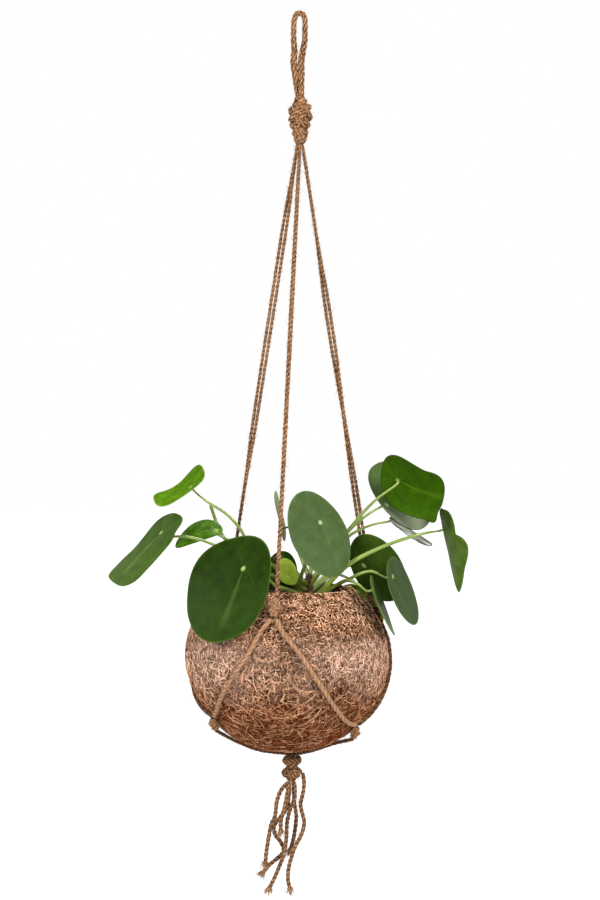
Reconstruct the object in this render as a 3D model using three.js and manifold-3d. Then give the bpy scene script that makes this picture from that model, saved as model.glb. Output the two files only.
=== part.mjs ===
// A Chinese money plant in a ball-shaped coir pot, carried by a jute twine hanger.
// Millimetres, +Z up, the viewer looks along +Y. The origin is the top of the inside of the hanging loop.

import * as THREE from "three";
import { mergeVertices } from "three/addons/utils/BufferGeometryUtils.js";
import Module from "manifold-3d";

// Driving dimensions: the coir pot, an ellipsoid of revolution with an open top
const pot = {
  centreZ: -642,
  radius: 101,
  upperHalf: 92,
  lowerHalf: 91,
  rimZ: -571,
  wall: 8.5,
  floorZ: -702,
  segments: 40,
};

// Driving dimensions: the nursery pot inside it, and the soil
const liner = { bottomZ: -701.6, topZ: -580, bottomRadius: 40, topRadius: 52, wall: 1.5, segments: 32 };
const soil = { topZ: -590, dome: 4, gap: 0.4 };

// Driving dimensions: the hanger's twine
const twine = { radius: 1.65, lay: 0.85, sides: 6, pairSpacing: 4.1 };
const netTwine = { radius: 2.1, lay: 0.5 };
const bundle = { radius: 2.85, sides: 8 };

// Driving dimensions: knots, as centre, direction, length and girth
const topKnot = { top: -80.5, bottom: -128, x: 2.2 };
const tie = { radius: 88.3, z: -582, length: 18, lean: 25 };
const lowerKnot = { length: 11, girth: 3.9 };
const bottomKnot = { x: 7.6, y: 0, topZ: -737, bottomZ: -764.5 };

// Driving dimensions: the plant
const stem = { x: 21, y: 0, footZ: -640, tipZ: -557, radius: 4.6, sides: 10, holeRadius: 5.3 };
const blade = { thickness: 1, sectors: 18, rings: [0.42, 0.76, 1], squareness: 0.92 };
const stalk = { footRadius: 2, endRadius: 1.05, sides: 6, steps: 8, gap: 0.35 };

// Finishes
function finish(color, roughness) {
  return () => new THREE.MeshStandardMaterial({ color, roughness, metalness: 0 });
}

const coir = finish(0x96643f, 0.95);
const plastic = finish(0x2b2b2b, 0.6);
const earth = finish(0x2d2018, 1);
const jute = finish(0xa9794f, 0.9);
const stalkGreen = finish(0x94a94a, 0.5);
const leafGreen = finish(0x35601a, 0.4);
const paleLeaf = finish(0x5f7d50, 0.45);
const brightLeaf = finish(0x467d12, 0.4);

const part = new THREE.Group();

function addMesh(name, geometry, material) {
  const mesh = new THREE.Mesh(geometry, material());
  mesh.name = name;
  part.add(mesh);
}

// Solids for joining and cutting
const wasm = await Module();
wasm.setup();

function toSolid(geometry) {
  const bare = geometry.clone();
  bare.deleteAttribute("normal");
  bare.deleteAttribute("uv");
  const merged = mergeVertices(bare, 1e-5);
  const vertProperties = Float32Array.from(merged.attributes.position.array);
  const triVerts = Uint32Array.from(merged.index.array);
  return new wasm.Manifold(new wasm.Mesh({ numProp: 3, vertProperties, triVerts }));
}

function toGeometry(solid) {
  const mesh = solid.getMesh();
  const geometry = new THREE.BufferGeometry();
  geometry.setAttribute("position", new THREE.BufferAttribute(mesh.vertProperties, 3));
  geometry.setIndex(new THREE.BufferAttribute(mesh.triVerts, 1));
  geometry.computeVertexNormals();
  return geometry;
}

const join = (geometries) => toGeometry(geometries.map(toSolid).reduce((all, next) => all.add(next)));

const point = (p) => new THREE.Vector3(p[0], p[1], p[2]);

// Azimuths run from the viewer's side (-Y) towards +X, in degrees
function around(azimuth, radius, z) {
  const turn = THREE.MathUtils.degToRad(azimuth);
  return new THREE.Vector3(radius * Math.sin(turn), -radius * Math.cos(turn), z);
}

// A closed tube along a curve whose radius may change: rings of points, joined, with a flat cap at each end
function taperedTube(curve, steps, sides, radiusAt) {
  const frames = curve.computeFrenetFrames(steps, false);
  const positions = [];
  const index = [];
  for (let i = 0; i <= steps; i += 1) {
    const centre = curve.getPointAt(i / steps);
    const radius = radiusAt(i / steps);
    for (let j = 0; j < sides; j += 1) {
      const turn = (2 * Math.PI * j) / sides;
      const corner = centre
        .clone()
        .addScaledVector(frames.normals[i], radius * Math.cos(turn))
        .addScaledVector(frames.binormals[i], radius * Math.sin(turn));
      positions.push(corner.x, corner.y, corner.z);
    }
  }
  for (let i = 0; i < steps; i += 1) {
    for (let j = 0; j < sides; j += 1) {
      const a = i * sides + j;
      const b = i * sides + ((j + 1) % sides);
      index.push(a, b, b + sides, a, b + sides, a + sides);
    }
  }
  const last = steps * sides;
  for (let j = 1; j < sides - 1; j += 1) {
    index.push(0, j + 1, j);
    index.push(last, last + j, last + j + 1);
  }
  const geometry = new THREE.BufferGeometry();
  geometry.setAttribute("position", new THREE.Float32BufferAttribute(positions, 3));
  geometry.setIndex(index);
  geometry.computeVertexNormals();
  return geometry;
}

const smooth = (points) => new THREE.CatmullRomCurve3(points, false, "centripetal");

// A round cord of even thickness along a list of points
function cord(points, steps, radius = twine.radius, sides = twine.sides) {
  const section = new THREE.Shape();
  for (let j = 0; j < sides; j += 1) {
    const turn = (2 * Math.PI * j) / sides;
    const corner = [radius * Math.cos(turn), radius * Math.sin(turn)];
    if (j === 0) section.moveTo(...corner);
    else section.lineTo(...corner);
  }
  return new THREE.ExtrudeGeometry(section, { steps, extrudePath: smooth(points) });
}

// Coir pot: radius = R * sqrt(1 - ((z - centre) / half)^2), taller half above, lower half below
function potRadius(z) {
  const half = z > pot.centreZ ? pot.upperHalf : pot.lowerHalf;
  return pot.radius * Math.sqrt(Math.max(0, 1 - ((z - pot.centreZ) / half) ** 2));
}

// The ball is a little flatter low on its left side
const flat = { azimuth: -80, z: -688, depth: 4.8, halfTurn: 45, halfHeight: 34 };

function flatness(azimuth, z) {
  const away = ((azimuth - flat.azimuth + 540) % 360) - 180;
  return flat.depth * Math.exp(-((away / flat.halfTurn) ** 2) - ((z - flat.z) / flat.halfHeight) ** 2);
}

// The hand-pressed rim rises and dips by about a millimetre round the mouth
function rimRise(x, y, z) {
  const turn = Math.atan2(x, -y);
  const share = THREE.MathUtils.smoothstep(z, pot.rimZ - 14, pot.rimZ - 2);
  return share * (0.7 * Math.sin(2 * turn + 2.4) + 0.5 * Math.sin(5 * turn + 0.7));
}

function turned(profile, segments) {
  const geometry = new THREE.LatheGeometry(profile.map(([r, z]) => new THREE.Vector2(r, z)), segments);
  return geometry.rotateX(Math.PI / 2);
}

function makeCoirPot() {
  const outside = [];
  const rimAngle = Math.asin((pot.rimZ - 3 - pot.centreZ) / pot.upperHalf);
  const rings = 10;
  for (let i = 0; i <= rings; i += 1) {
    const angle = THREE.MathUtils.lerp(-Math.PI / 2, rimAngle, i / rings);
    const half = angle > 0 ? pot.upperHalf : pot.lowerHalf;
    outside.push([pot.radius * Math.cos(angle), pot.centreZ + half * Math.sin(angle)]);
  }
  outside[0][0] = 0;
  const rimRadius = potRadius(pot.rimZ);
  const lip = [[rimRadius - 2.5, pot.rimZ], [rimRadius - 6, pot.rimZ]];
  const inside = [pot.rimZ - 4, -600, -636, -672, pot.floorZ].map((z) => [potRadius(z) - pot.wall, z]);
  const profile = [...outside, ...lip, ...inside, [0, pot.floorZ]];
  const geometry = turned(profile, pot.segments);
  const position = geometry.attributes.position;
  for (let i = 0; i < position.count; i += 1) {
    const [x, y, z] = [position.getX(i), position.getY(i), position.getZ(i)];
    position.setZ(i, z + rimRise(x, y, z));
    const radius = Math.hypot(x, y);
    if (radius < 1 || radius < potRadius(z) - pot.wall / 2) continue;
    const inward = flatness(THREE.MathUtils.radToDeg(Math.atan2(x, -y)), z) / radius;
    position.setX(i, x * (1 - inward));
    position.setY(i, y * (1 - inward));
  }
  addMesh("coir_pot", geometry, coir);
}

const linerRadius = (z) =>
  THREE.MathUtils.mapLinear(z, liner.bottomZ, liner.topZ, liner.bottomRadius, liner.topRadius);

function makeLiner() {
  const floor = liner.bottomZ + liner.wall;
  const lipZ = liner.topZ - 3;
  const profile = [
    [0, liner.bottomZ],
    [liner.bottomRadius, liner.bottomZ],
    [linerRadius(lipZ), lipZ],
    [liner.topRadius + 1.6, lipZ],
    [liner.topRadius + 1.6, liner.topZ],
    [liner.topRadius - liner.wall, liner.topZ],
    [liner.bottomRadius - liner.wall, floor],
    [0, floor],
  ];
  addMesh("inner_pot", turned(profile, liner.segments), plastic);
}

function makeSoil() {
  const floor = liner.bottomZ + liner.wall + soil.gap;
  const inset = liner.wall + soil.gap;
  const profile = [
    [0, floor],
    [linerRadius(floor) - inset, floor],
    [linerRadius(soil.topZ - soil.dome) - inset, soil.topZ - soil.dome],
    [linerRadius(soil.topZ) * 0.6, soil.topZ],
    [0, soil.topZ + 1],
  ];
  const depth = 60;
  const hole = new THREE.CylinderGeometry(stem.holeRadius, stem.holeRadius, depth, 16);
  hole.rotateX(Math.PI / 2);
  hole.translate(stem.x, stem.y, stem.footZ - 0.5 + depth / 2);
  const body = toSolid(turned(profile, liner.segments)).subtract(toSolid(hole));
  addMesh("potting_soil", toGeometry(body), earth);
}

// A knot: a short core with flat ends, and tilted wraps of twine round it, joined as one body
function knotBody({ from, to, endRadius, girth, wraps, wrapTube, tilts }) {
  const length = from.distanceTo(to);
  const profile = [
    [0, -length / 2],
    [endRadius, -length / 2],
    [girth, -length / 4],
    [girth, length / 4],
    [endRadius, length / 2],
    [0, length / 2],
  ];
  const pieces = [turned(profile, 9)];
  wraps.forEach((share, i) => {
    const ring = new THREE.TorusGeometry(girth + wrapTube * 0.15, wrapTube, 6, 11);
    ring.rotateX(THREE.MathUtils.degToRad(tilts[i][0]));
    ring.rotateY(THREE.MathUtils.degToRad(tilts[i][1]));
    ring.translate(0, 0, share * length);
    pieces.push(ring);
  });
  const middle = from.clone().lerp(to, 0.5);
  const up = from.clone().sub(to).normalize();
  const turn = new THREE.Quaternion().setFromUnitVectors(new THREE.Vector3(0, 0, 1), up);
  return join(pieces).applyQuaternion(turn).translate(middle.x, middle.y, middle.z);
}

// Hanging loop: the twine bundle goes up from the top knot, bends over and comes down beside itself
function makeLoop() {
  const route = [
    [0.4, 2.9, -79.7], [-1, 2.4, -72], [-3.2, 0.4, -58], [-4.9, 0, -46], [-4.3, 0, -36], [-5.2, 0, -26],
    [-5.5, 0, -14], [-5.2, 0, -5], [-3.6, 0, 0.5], [0, 0, bundle.radius], [4, 0, 0.5], [5.6, 0, -5],
    [5.8, 0, -14], [5.6, 0, -26], [3.9, 0, -36], [2.6, 0, -46], [3.1, -0.4, -58], [3.4, -2.4, -72],
    [3.6, -2.9, -79.7],
  ];
  addMesh("hanging_loop", cord(route.map(point), 40, bundle.radius, bundle.sides), jute);
}

function makeTopKnot() {
  const knot = knotBody({
    from: new THREE.Vector3(topKnot.x, 0, topKnot.top),
    to: new THREE.Vector3(topKnot.x + 1, 0, topKnot.bottom),
    endRadius: 4.6,
    girth: 7.2,
    wraps: [0.26, 0.02, -0.2],
    wrapTube: 3.6,
    tilts: [[8, 24], [-10, 30], [10, 20]],
  });
  addMesh("top_knot", knot, jute);
}

// Legs: two strands each, from the top knot to the tie knot on the pot's shoulder, turning round each other
const legs = [
  { name: "front", azimuth: -7.5, shift: 1.2, start: [3.1, -128.7], turns: [90, 80, 75, 80, 85, 90] },
  { name: "right", azimuth: 104, shift: 1, start: [5.7, -128.7], turns: [90, 90, 0, 80, 20, 10] },
  { name: "left", azimuth: -134, shift: 0, start: [0.5, -128.7], turns: [90, 10, 0, 20, 90, 90] },
];

const legSteps = 15;

// The angle between the two strands and the viewer's left-right line, eased between the listed turns
function turnAt(turns, share) {
  const place = share * (turns.length - 1);
  const i = Math.min(turns.length - 2, Math.floor(place));
  return THREE.MathUtils.lerp(turns[i], turns[i + 1], THREE.MathUtils.smoothstep(place - i, 0, 1));
}

const tieAxis = (azimuth, share) => {
  const lean = THREE.MathUtils.degToRad(tie.lean);
  const away = share * tie.length;
  return around(azimuth, tie.radius - away * Math.sin(lean), tie.z + away * Math.cos(lean));
};

function makeLegs() {
  for (const leg of legs) {
    const start = new THREE.Vector3(leg.start[0], 0, leg.start[1]);
    const end = tieAxis(leg.azimuth, 0.5).add(new THREE.Vector3(leg.shift, 0, 1.7));
    const across = new THREE.Vector3(1, 0, 0);
    const along = end.clone().sub(start).normalize();
    const deep = along.clone().cross(across).normalize();
    for (const [label, side] of [["a", 1], ["b", -1]]) {
      const points = [];
      for (let i = 0; i <= legSteps; i += 1) {
        const share = i / legSteps;
        const spacing = THREE.MathUtils.lerp(1.4, twine.pairSpacing / 2, Math.min(1, share * 5));
        const angle = THREE.MathUtils.degToRad(turnAt(leg.turns, share));
        const spot = start.clone().lerp(end, share);
        spot.addScaledVector(across, side * spacing * Math.cos(angle));
        points.push(spot.addScaledVector(deep, side * spacing * Math.sin(angle)));
      }
      const radiusAt = (t) => THREE.MathUtils.lerp(1.15, twine.radius, Math.min(1, t * 10));
      const strand = taperedTube(smooth(points), legSteps, twine.sides, radiusAt);
      addMesh(`leg_${leg.name}_${label}`, strand, jute);
    }
  }
}

function makeTieKnots() {
  for (const { name, azimuth } of legs) {
    const knot = knotBody({
      from: tieAxis(azimuth, 0.5),
      to: tieAxis(azimuth, -0.5),
      endRadius: 3.7,
      girth: 4.2,
      wraps: [0.2, -0.16],
      wrapTube: 1.9,
      tilts: [[15, 20], [-18, -12]],
    });
    addMesh(`tie_knot_${name}`, knot, jute);
  }
}

// Lower knots, between the legs, standing a little off the pot
const lowerKnots = [
  { name: "right", azimuth: 59.5, z: -707, standOff: 8.5, swing: 9 },
  { name: "left", azimuth: -55.5, z: -700, standOff: 8, swing: -9 },
  { name: "back", azimuth: 168, z: -706, standOff: 9.7, swing: 0 },
];

// The place beside a lower knot's middle: further out by the first distance, higher by the second
function besideKnot(knot, further, higher) {
  const radius = potRadius(knot.z) - flatness(knot.azimuth, knot.z) + knot.standOff;
  return around(knot.azimuth, radius + further, knot.z + higher);
}

function makeLowerKnots() {
  for (const place of lowerKnots) {
    const knot = knotBody({
      from: besideKnot(place, 2, lowerKnot.length / 2),
      to: besideKnot(place, -2, -lowerKnot.length / 2),
      endRadius: 3.6,
      girth: lowerKnot.girth,
      wraps: [0.12, -0.14],
      wrapTube: 1.7,
      tilts: [[20, 10], [-16, -20]],
    });
    addMesh(`lower_knot_${place.name}`, knot, jute);
  }
}

// Net cords: each lies on the pot from a tie knot to a lower knot. Route points are [azimuth, z].
const netCords = [
  {
    name: "front_right", tie: -7.5, side: 1, knot: "right",
    route: [[-2, -605], [8, -625], [17, -648], [28, -672], [42, -690]],
  },
  {
    name: "front_left", tie: -7.5, side: -1, knot: "left",
    route: [[-14.5, -605], [-20, -625], [-29, -648], [-37, -666], [-46, -682]],
  },
  {
    name: "right_front", tie: 104, side: -1, knot: "right",
    route: [[99, -606], [94, -625], [88, -648], [80, -670], [71, -688]],
  },
  {
    name: "right_back", tie: 104, side: 1, knot: "back",
    route: [[111, -606], [119, -628], [130, -652], [142, -674], [155, -690]],
  },
  {
    name: "left_front", tie: -134, side: 1, knot: "left",
    route: [[-128, -606], [-121, -634], [-111, -656], [-95, -674], [-75, -686]],
  },
  {
    name: "left_back", tie: -134, side: -1, knot: "back",
    route: [[-140, -606], [-147, -628], [-156, -652], [-166, -674], [-178, -690]],
  },
];

// A point that lies off the pot's surface by the given distance, square to it
function offPot(azimuth, z, distance) {
  const half = z > pot.centreZ ? pot.upperHalf : pot.lowerHalf;
  const outward = potRadius(z) / pot.radius ** 2;
  const upward = (z - pot.centreZ) / half ** 2;
  const share = distance / Math.hypot(outward, upward);
  return around(azimuth, potRadius(z) - flatness(azimuth, z) + outward * share, z + upward * share);
}

const onPot = ([azimuth, z]) => offPot(azimuth, z, twine.radius + twine.lay);
const netOnPot = ([azimuth, z]) => offPot(azimuth, z, netTwine.radius + netTwine.lay);

function makeNet() {
  for (const net of netCords) {
    const spread = net.side * 2.3;
    const foot = tieAxis(net.tie, -0.5);
    const start = foot.clone().add(around(net.tie + 90, spread, -1.7));
    const knot = lowerKnots.find(({ name }) => name === net.knot);
    const head = besideKnot(knot, 2, lowerKnot.length / 2 + 2.2);
    head.add(around(knot.azimuth - net.side * 90, 2.3, 0));
    const points = [start, ...net.route.map(netOnPot), head];
    addMesh(`net_${net.name}`, cord(points, 14, netTwine.radius), jute);
  }
}

// Under cords: two from each lower knot, drawn in below the pot to the bottom knot
function makeUnderCords() {
  for (const knot of lowerKnots) {
    for (const [label, side] of [["a", 1], ["b", -1]]) {
      const start = besideKnot(knot, -2.4, -lowerKnot.length / 2 - 1.3);
      start.add(around(knot.azimuth + 90, 2 * side, 0));
      const middle = onPot([knot.azimuth + knot.swing + side * 2.5, -720]);
      const inner = onPot([knot.azimuth + knot.swing + side * 7, -729]);
      const end = new THREE.Vector3(bottomKnot.x, bottomKnot.y, bottomKnot.topZ + 0.2);
      end.add(around(knot.azimuth + side * 22, 6.4, 0));
      addMesh(`under_${knot.name}_${label}`, cord([start, middle, inner, end], 8), jute);
    }
  }
}

function makeBottomKnot() {
  const knot = knotBody({
    from: new THREE.Vector3(bottomKnot.x, bottomKnot.y, bottomKnot.topZ),
    to: new THREE.Vector3(bottomKnot.x, bottomKnot.y, bottomKnot.bottomZ),
    endRadius: 5,
    girth: 6,
    wraps: [0.24, -0.24],
    wrapTube: 3.1,
    tilts: [[8, 10], [-10, -14]],
  });
  addMesh("bottom_knot", knot, jute);
}

// Tassel: the loose ends of the twine below the bottom knot, opened a little and so thicker than the net
const tasselRadius = 2.15;
const tasselCords = [
  [
    [4.2, -3, -765.5], [-3, -4, -774], [-7, -5, -786], [-8, -6, -798], [-12, -6, -808],
    [-14, -6, -820], [-16, -6, -834], [-17, -6, -847],
  ],
  [
    [5, 3.5, -765.2], [5, 4, -782], [3, 4.5, -794], [-4, 5, -804], [-9, 5, -812], [-8, 5, -820],
    [-2, 5, -828], [1, 5, -837], [-5, 5, -844], [-13, 5, -851], [-20, 5, -860],
  ],
  [
    [10.5, -3.5, -765.2], [11, -3, -781], [7, -2, -792], [4, -1, -806], [3.5, 0, -822], [1.5, 0, -838],
    [-2, 0, -848], [-7, 0, -861], [-13, 0, -874],
  ],
  [
    [9.5, 4, -765.2], [10, 7, -778], [11, 8.5, -790], [13, 8.5, -802], [12, 8, -816], [10, 7, -828],
    [7, 6, -837],
  ],
  [
    [18.4, 0.5, -756.5], [20, 0, -765], [19.5, -1, -775], [17, -3, -788], [21, -5, -805],
    [18, -5, -818], [12, -5, -830], [9, -5, -840], [6.5, -5, -850], [6, -5, -861], [8, -5, -872],
  ],
  [[5.5, -7.3, -760.9], [3.5, -9, -776], [1, -9, -790], [-2, -8, -802], [-2.5, -7, -814]],
];

function makeTassel() {
  tasselCords.forEach((route, i) => {
    addMesh(`tassel_${i + 1}`, cord(route.map(point), 2 * route.length - 2, tasselRadius, 8), jute);
  });
}

// Leaf blades. A blade is the curved sheet through its centre, tip, heel and its left and right side
// points, seen from above with the tip ahead:
// S(u, w) = C + A u + A2 u^2 + W w + W2 w^2 + spread u^2 w, inside a rounded outline.
// notch is where the outline draws in: its direction in degrees, its depth as a share, its half width.
// joint is the [u, w] where the stalk meets the underside; stalk lists the way there from the stem.
const leaves = [
  { // upper left, nearly level, both ends bent down
    centre: [-107, -10, -477], tip: [-134, -10, -488], heel: [-87, -8, -454],
    left: [-99, -38, -478], right: [-115, 20, -472],
    joint: [-0.3, -0.3], spread: [0, 0, 7], squareness: 0.8, finish: leafGreen,
    foot: -568,
    stalk: [
      [9, -12, -563], [-6, -17, -555], [-38, -28, -530], [-47, -32, -513], [-61, -34, -498],
      [-80, -35, -486],
    ],
  },
  { // large, hanging at the left
    centre: [-138, -38, -535], tip: [-168, -32, -568], heel: [-108, -36, -499],
    left: [-125, -66, -540], right: [-155, -4, -534],
    joint: [-0.5, 0.1], spread: [-4, 6, 2], squareness: 0.8, finish: leafGreen,
    foot: -574, stalk: [[-20, -24, -556], [-75, -46, -526], [-98, -46, -520]],
  },
  { // small and folded, behind the stalk of the one before
    centre: [-90, -4, -519], tip: [-112, -12, -531], heel: [-66, -8, -515],
    left: [-89, -14, -526], right: [-91, 12, -508],
    joint: [-0.75, 0], finish: brightLeaf,
    foot: -572, stalk: [[-10, 12, -557], [-48, 4, -536], [-61, 0, -525]],
  },
  { // large and round, facing the viewer in front of the pot
    centre: [-54, -84, -567], tip: [-58, -95, -613], heel: [-54, -60, -520],
    left: [-16, -82, -549], right: [-94, -74, -571],
    joint: [-0.42, -0.3], squareness: 0.86, finish: leafGreen,
    foot: -582, stalk: [[2, -24, -572], [-14, -48, -564], [-21, -64, -555]],
  },
  { // slim, on edge, behind the front leg
    centre: [-9, 15, -501], tip: [-15, 15, -476], heel: [-4, 12, -526],
    left: [-7, 42, -501], right: [-11, -12, -501],
    joint: [-0.5, 0], finish: paleLeaf,
    foot: -562, stalk: [[14, 8, -545], [4, 12, -524]],
  },
  { // right of the middle, grey-green, facing the viewer
    centre: [30, -40, -514], tip: [46, -50, -555], heel: [14, -24, -474],
    left: [56, -18, -509], right: [3, -60, -520],
    joint: [-0.22, -0.15], notch: [225, 0.05, 35], squareness: 1, finish: paleLeaf,
    foot: -586, stalk: [[11, -12, -575], [15, -22, -551], [24, -28, -528]],
  },
  { // upper right, seen from below
    centre: [122, -14, -470], tip: [151, -26, -478], heel: [90, -22, -453],
    left: [117, -4, -496], right: [122, -40, -444],
    joint: [-0.5, 0.05], notch: [80, 0.14, 22], squareness: 0.75, finish: brightLeaf,
    foot: -570, stalk: [[28, -5, -560], [60, -2, -512], [84, -14, -483]],
  },
  { // behind it, reaching back
    centre: [113, 14, -481], tip: [134, 46, -464], heel: [92, 0, -488],
    left: [86, 8, -447], right: [137, 22, -510],
    joint: [-0.75, 0], finish: paleLeaf,
    foot: -568, stalk: [[32, 2, -552], [61, 3, -513], [80, 0, -496]],
  },
  { // below that, on edge
    centre: [122, 10, -514], tip: [144, 10, -527], heel: [101, 8, -500],
    left: [124, 38, -513], right: [118, -16, -517],
    joint: [-0.9, 0], lead: 2.5, finish: paleLeaf,
    foot: -566, stalk: [[36, 5, -548], [61, 7, -519], [84, 8, -507.5]],
  },
  { // far right, twisted at its waist and hanging
    centre: [164, 2, -523], tip: [171, -4, -573], heel: [153, 6, -490],
    left: [159, 24, -521], right: [177, -20, -526],
    joint: [-0.25, -0.7], notch: [124, 0.42, 17], squareness: 1.2, finish: leafGreen,
    foot: -584, footRadius: 2.4, endRadius: 0.9,
    stalk: [[33, -8, -574], [58, -18, -547], [98, -24, -525], [132, -20, -514]],
  },
  { // dark, behind the right leg's foot
    centre: [90, 5, -553], tip: [119, 12, -560], heel: [62, 14, -544],
    left: [84, 2, -518], right: [93, 6, -583],
    joint: [-0.5, 0], squareness: 1, finish: leafGreen,
    foot: -578, stalk: [[40, 14, -562], [56, 20, -552]],
  },
  { // right, oval, nearly on edge
    centre: [112, -24, -571], tip: [127, -20, -603], heel: [101, -26, -538],
    left: [123, 2, -566], right: [101, -52, -573],
    joint: [-0.5, 0.3], finish: leafGreen,
    foot: -586, stalk: [[42, -12, -571], [56, -22, -562], [80, -32, -551]],
  },
  { // narrow, on edge, tip down
    centre: [89, -36, -582], tip: [105, -32, -613], heel: [82, -34, -555],
    left: [95, -8, -583], right: [84, -60, -574],
    joint: [-0.45, 0.3], finish: leafGreen,
    foot: -588, stalk: [[44, -15, -570], [56, -28, -561], [68, -38, -563]],
  },
  { // young, beside the front leg
    centre: [-1, -27, -554], tip: [-3, -34, -540], heel: [2, -20, -567],
    left: [-11, -30, -553], right: [9, -27, -555],
    joint: [-0.4, 0], finish: brightLeaf,
    foot: -580, footRadius: 1.5, stalk: [[12, -11, -575]],
  },
  { // dark, behind the young one
    centre: [-5, -3, -555], tip: [-6, 4, -536], heel: [-4, -7, -572],
    left: [-22, -5, -557], right: [9, -1, -556],
    joint: [-0.4, 0], finish: leafGreen,
    foot: -578, footRadius: 1.6, stalk: [[9, 3, -569]],
  },
  { // at the back, level
    centre: [34, 62, -514], tip: [40, 88, -530], heel: [28, 36, -512],
    left: [10, 60, -522], right: [58, 62, -520],
    joint: [-0.4, 0], finish: leafGreen,
    foot: -564, stalk: [[24, 18, -548], [28, 36, -532]],
  },
  { // at the back left, hanging over the rim
    centre: [-30, 98, -600], tip: [-34, 112, -640], heel: [-26, 74, -562],
    left: [-68, 92, -600], right: [8, 106, -602],
    joint: [-0.5, 0], finish: leafGreen,
    foot: -572, stalk: [[4, 30, -556], [-16, 60, -556]],
  },
  { // at the back right, hanging over the rim
    centre: [80, 84, -592], tip: [92, 104, -621], heel: [64, 62, -573],
    left: [96, 68, -598], right: [58, 98, -604],
    joint: [-0.5, 0], finish: leafGreen,
    foot: -574, stalk: [[40, 28, -561], [52, 48, -562]],
  },
];

// One stalk has lost its blade
const bareStalk = {
  foot: -570,
  route: [[-8, 18, -552], [-50, 12, -540], [-67, 13, -522], [-74, 15, -508], [-80, 13, -491]],
};

function sheet(leaf) {
  const marks = [leaf.centre, leaf.tip, leaf.heel, leaf.left, leaf.right];
  const [centre, tip, heel, left, right] = marks.map(point);
  const along = tip.clone().sub(heel).multiplyScalar(0.5);
  const alongBend = tip.clone().add(heel).multiplyScalar(0.5).sub(centre);
  const across = right.clone().sub(left).multiplyScalar(0.5);
  const acrossBend = right.clone().add(left).multiplyScalar(0.5).sub(centre);
  const spread = point(leaf.spread ?? [0, 0, 0]);
  return (u, w) =>
    centre
      .clone()
      .addScaledVector(along, u)
      .addScaledVector(alongBend, u * u)
      .addScaledVector(across, w)
      .addScaledVector(acrossBend, w * w)
      .addScaledVector(spread, u * u * w);
}

function sheetNormal(at, u, w) {
  const step = 0.01;
  const du = at(u + step, w).sub(at(u - step, w));
  const dw = at(u, w + step).sub(at(u, w - step));
  return dw.cross(du).normalize();
}

// The outline is a circle in (u, w), drawn a little square and drawn in at a notch
function outlineSpot(leaf, turn) {
  const power = leaf.squareness ?? blade.squareness;
  const squared = (value) => Math.sign(value) * Math.abs(value) ** power;
  const [direction, depth, halfWidth] = leaf.notch ?? [0, 0, 1];
  const away = (THREE.MathUtils.radToDeg(turn) - direction) / halfWidth;
  const reach = 1 - depth * Math.exp(-(away ** 2));
  return [reach * squared(Math.cos(turn)), reach * squared(Math.sin(turn))];
}

// Rings of points inside the outline carry the two curved faces of a blade
function bladeBody(leaf) {
  const at = sheet(leaf);
  const spots = [[0, 0]];
  for (const ring of blade.rings) {
    for (let j = 0; j < blade.sectors; j += 1) {
      const [u, w] = outlineSpot(leaf, (2 * Math.PI * j) / blade.sectors);
      spots.push([ring * u, ring * w]);
    }
  }
  const positions = [];
  for (const side of [1, -1]) {
    for (const [u, w] of spots) {
      const p = at(u, w).addScaledVector(sheetNormal(at, u, w), (side * blade.thickness) / 2);
      positions.push(p.x, p.y, p.z);
    }
  }
  const index = [];
  const under = spots.length;
  const face = (a, b, c) => index.push(a, c, b, under + a, under + b, under + c);
  const sectors = blade.sectors;
  for (let j = 0; j < sectors; j += 1) {
    const k = (j + 1) % sectors;
    face(0, 1 + j, 1 + k);
    for (let r = 1; r < blade.rings.length; r += 1) {
      const inner = 1 + (r - 1) * sectors;
      const outer = inner + sectors;
      face(inner + j, outer + j, outer + k);
      face(inner + j, outer + k, inner + k);
    }
    const rim = 1 + (blade.rings.length - 1) * sectors;
    index.push(rim + j, under + rim + k, under + rim + j, rim + j, rim + k, under + rim + k);
  }
  const geometry = new THREE.BufferGeometry();
  geometry.setAttribute("position", new THREE.Float32BufferAttribute(positions, 3));
  geometry.setIndex(index);
  geometry.computeVertexNormals();
  return geometry;
}

const nodeName = (i) => `leaf_${String(i + 1).padStart(2, "0")}`;

function makeLeaves() {
  leaves.forEach((leaf, i) => addMesh(nodeName(i), bladeBody(leaf), leaf.finish));
}

function stalkBody(foot, points, footRadius, endRadius) {
  const start = new THREE.Vector3(stem.x, stem.y, foot);
  const curve = smooth([start, ...points]);
  const radiusAt = (t) => THREE.MathUtils.lerp(footRadius, endRadius, t ** 1.5);
  return taperedTube(curve, stalk.steps, stalk.sides, radiusAt);
}

// The woody stem and all leaf stalks grew as one piece
function makeStemAndStalks() {
  const axis = smooth([
    new THREE.Vector3(stem.x, stem.y, stem.footZ),
    new THREE.Vector3(stem.x, stem.y, (stem.footZ + stem.tipZ) / 2),
    new THREE.Vector3(stem.x, stem.y, stem.tipZ),
  ]);
  const trunkRadius = (t) => (t > 0.99 ? 0.6 : 1) * stem.radius;
  const bodies = [taperedTube(axis, 8, stem.sides, trunkRadius)];
  for (const leaf of leaves) {
    const endRadius = leaf.endRadius ?? stalk.endRadius;
    const at = sheet(leaf);
    const normal = sheetNormal(at, ...leaf.joint);
    const joint = at(...leaf.joint);
    const below = blade.thickness / 2 + stalk.gap + 0.45 * endRadius;
    const end = joint.clone().addScaledVector(normal, -below);
    const near = joint.clone().addScaledVector(normal, -(leaf.lead ?? 6));
    const points = [...leaf.stalk.map(point), near, end];
    bodies.push(stalkBody(leaf.foot, points, leaf.footRadius ?? stalk.footRadius, endRadius));
  }
  bodies.push(stalkBody(bareStalk.foot, bareStalk.route.map(point), 2, 1.6));
  addMesh("stem_and_stalks", join(bodies), stalkGreen);
}

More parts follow.
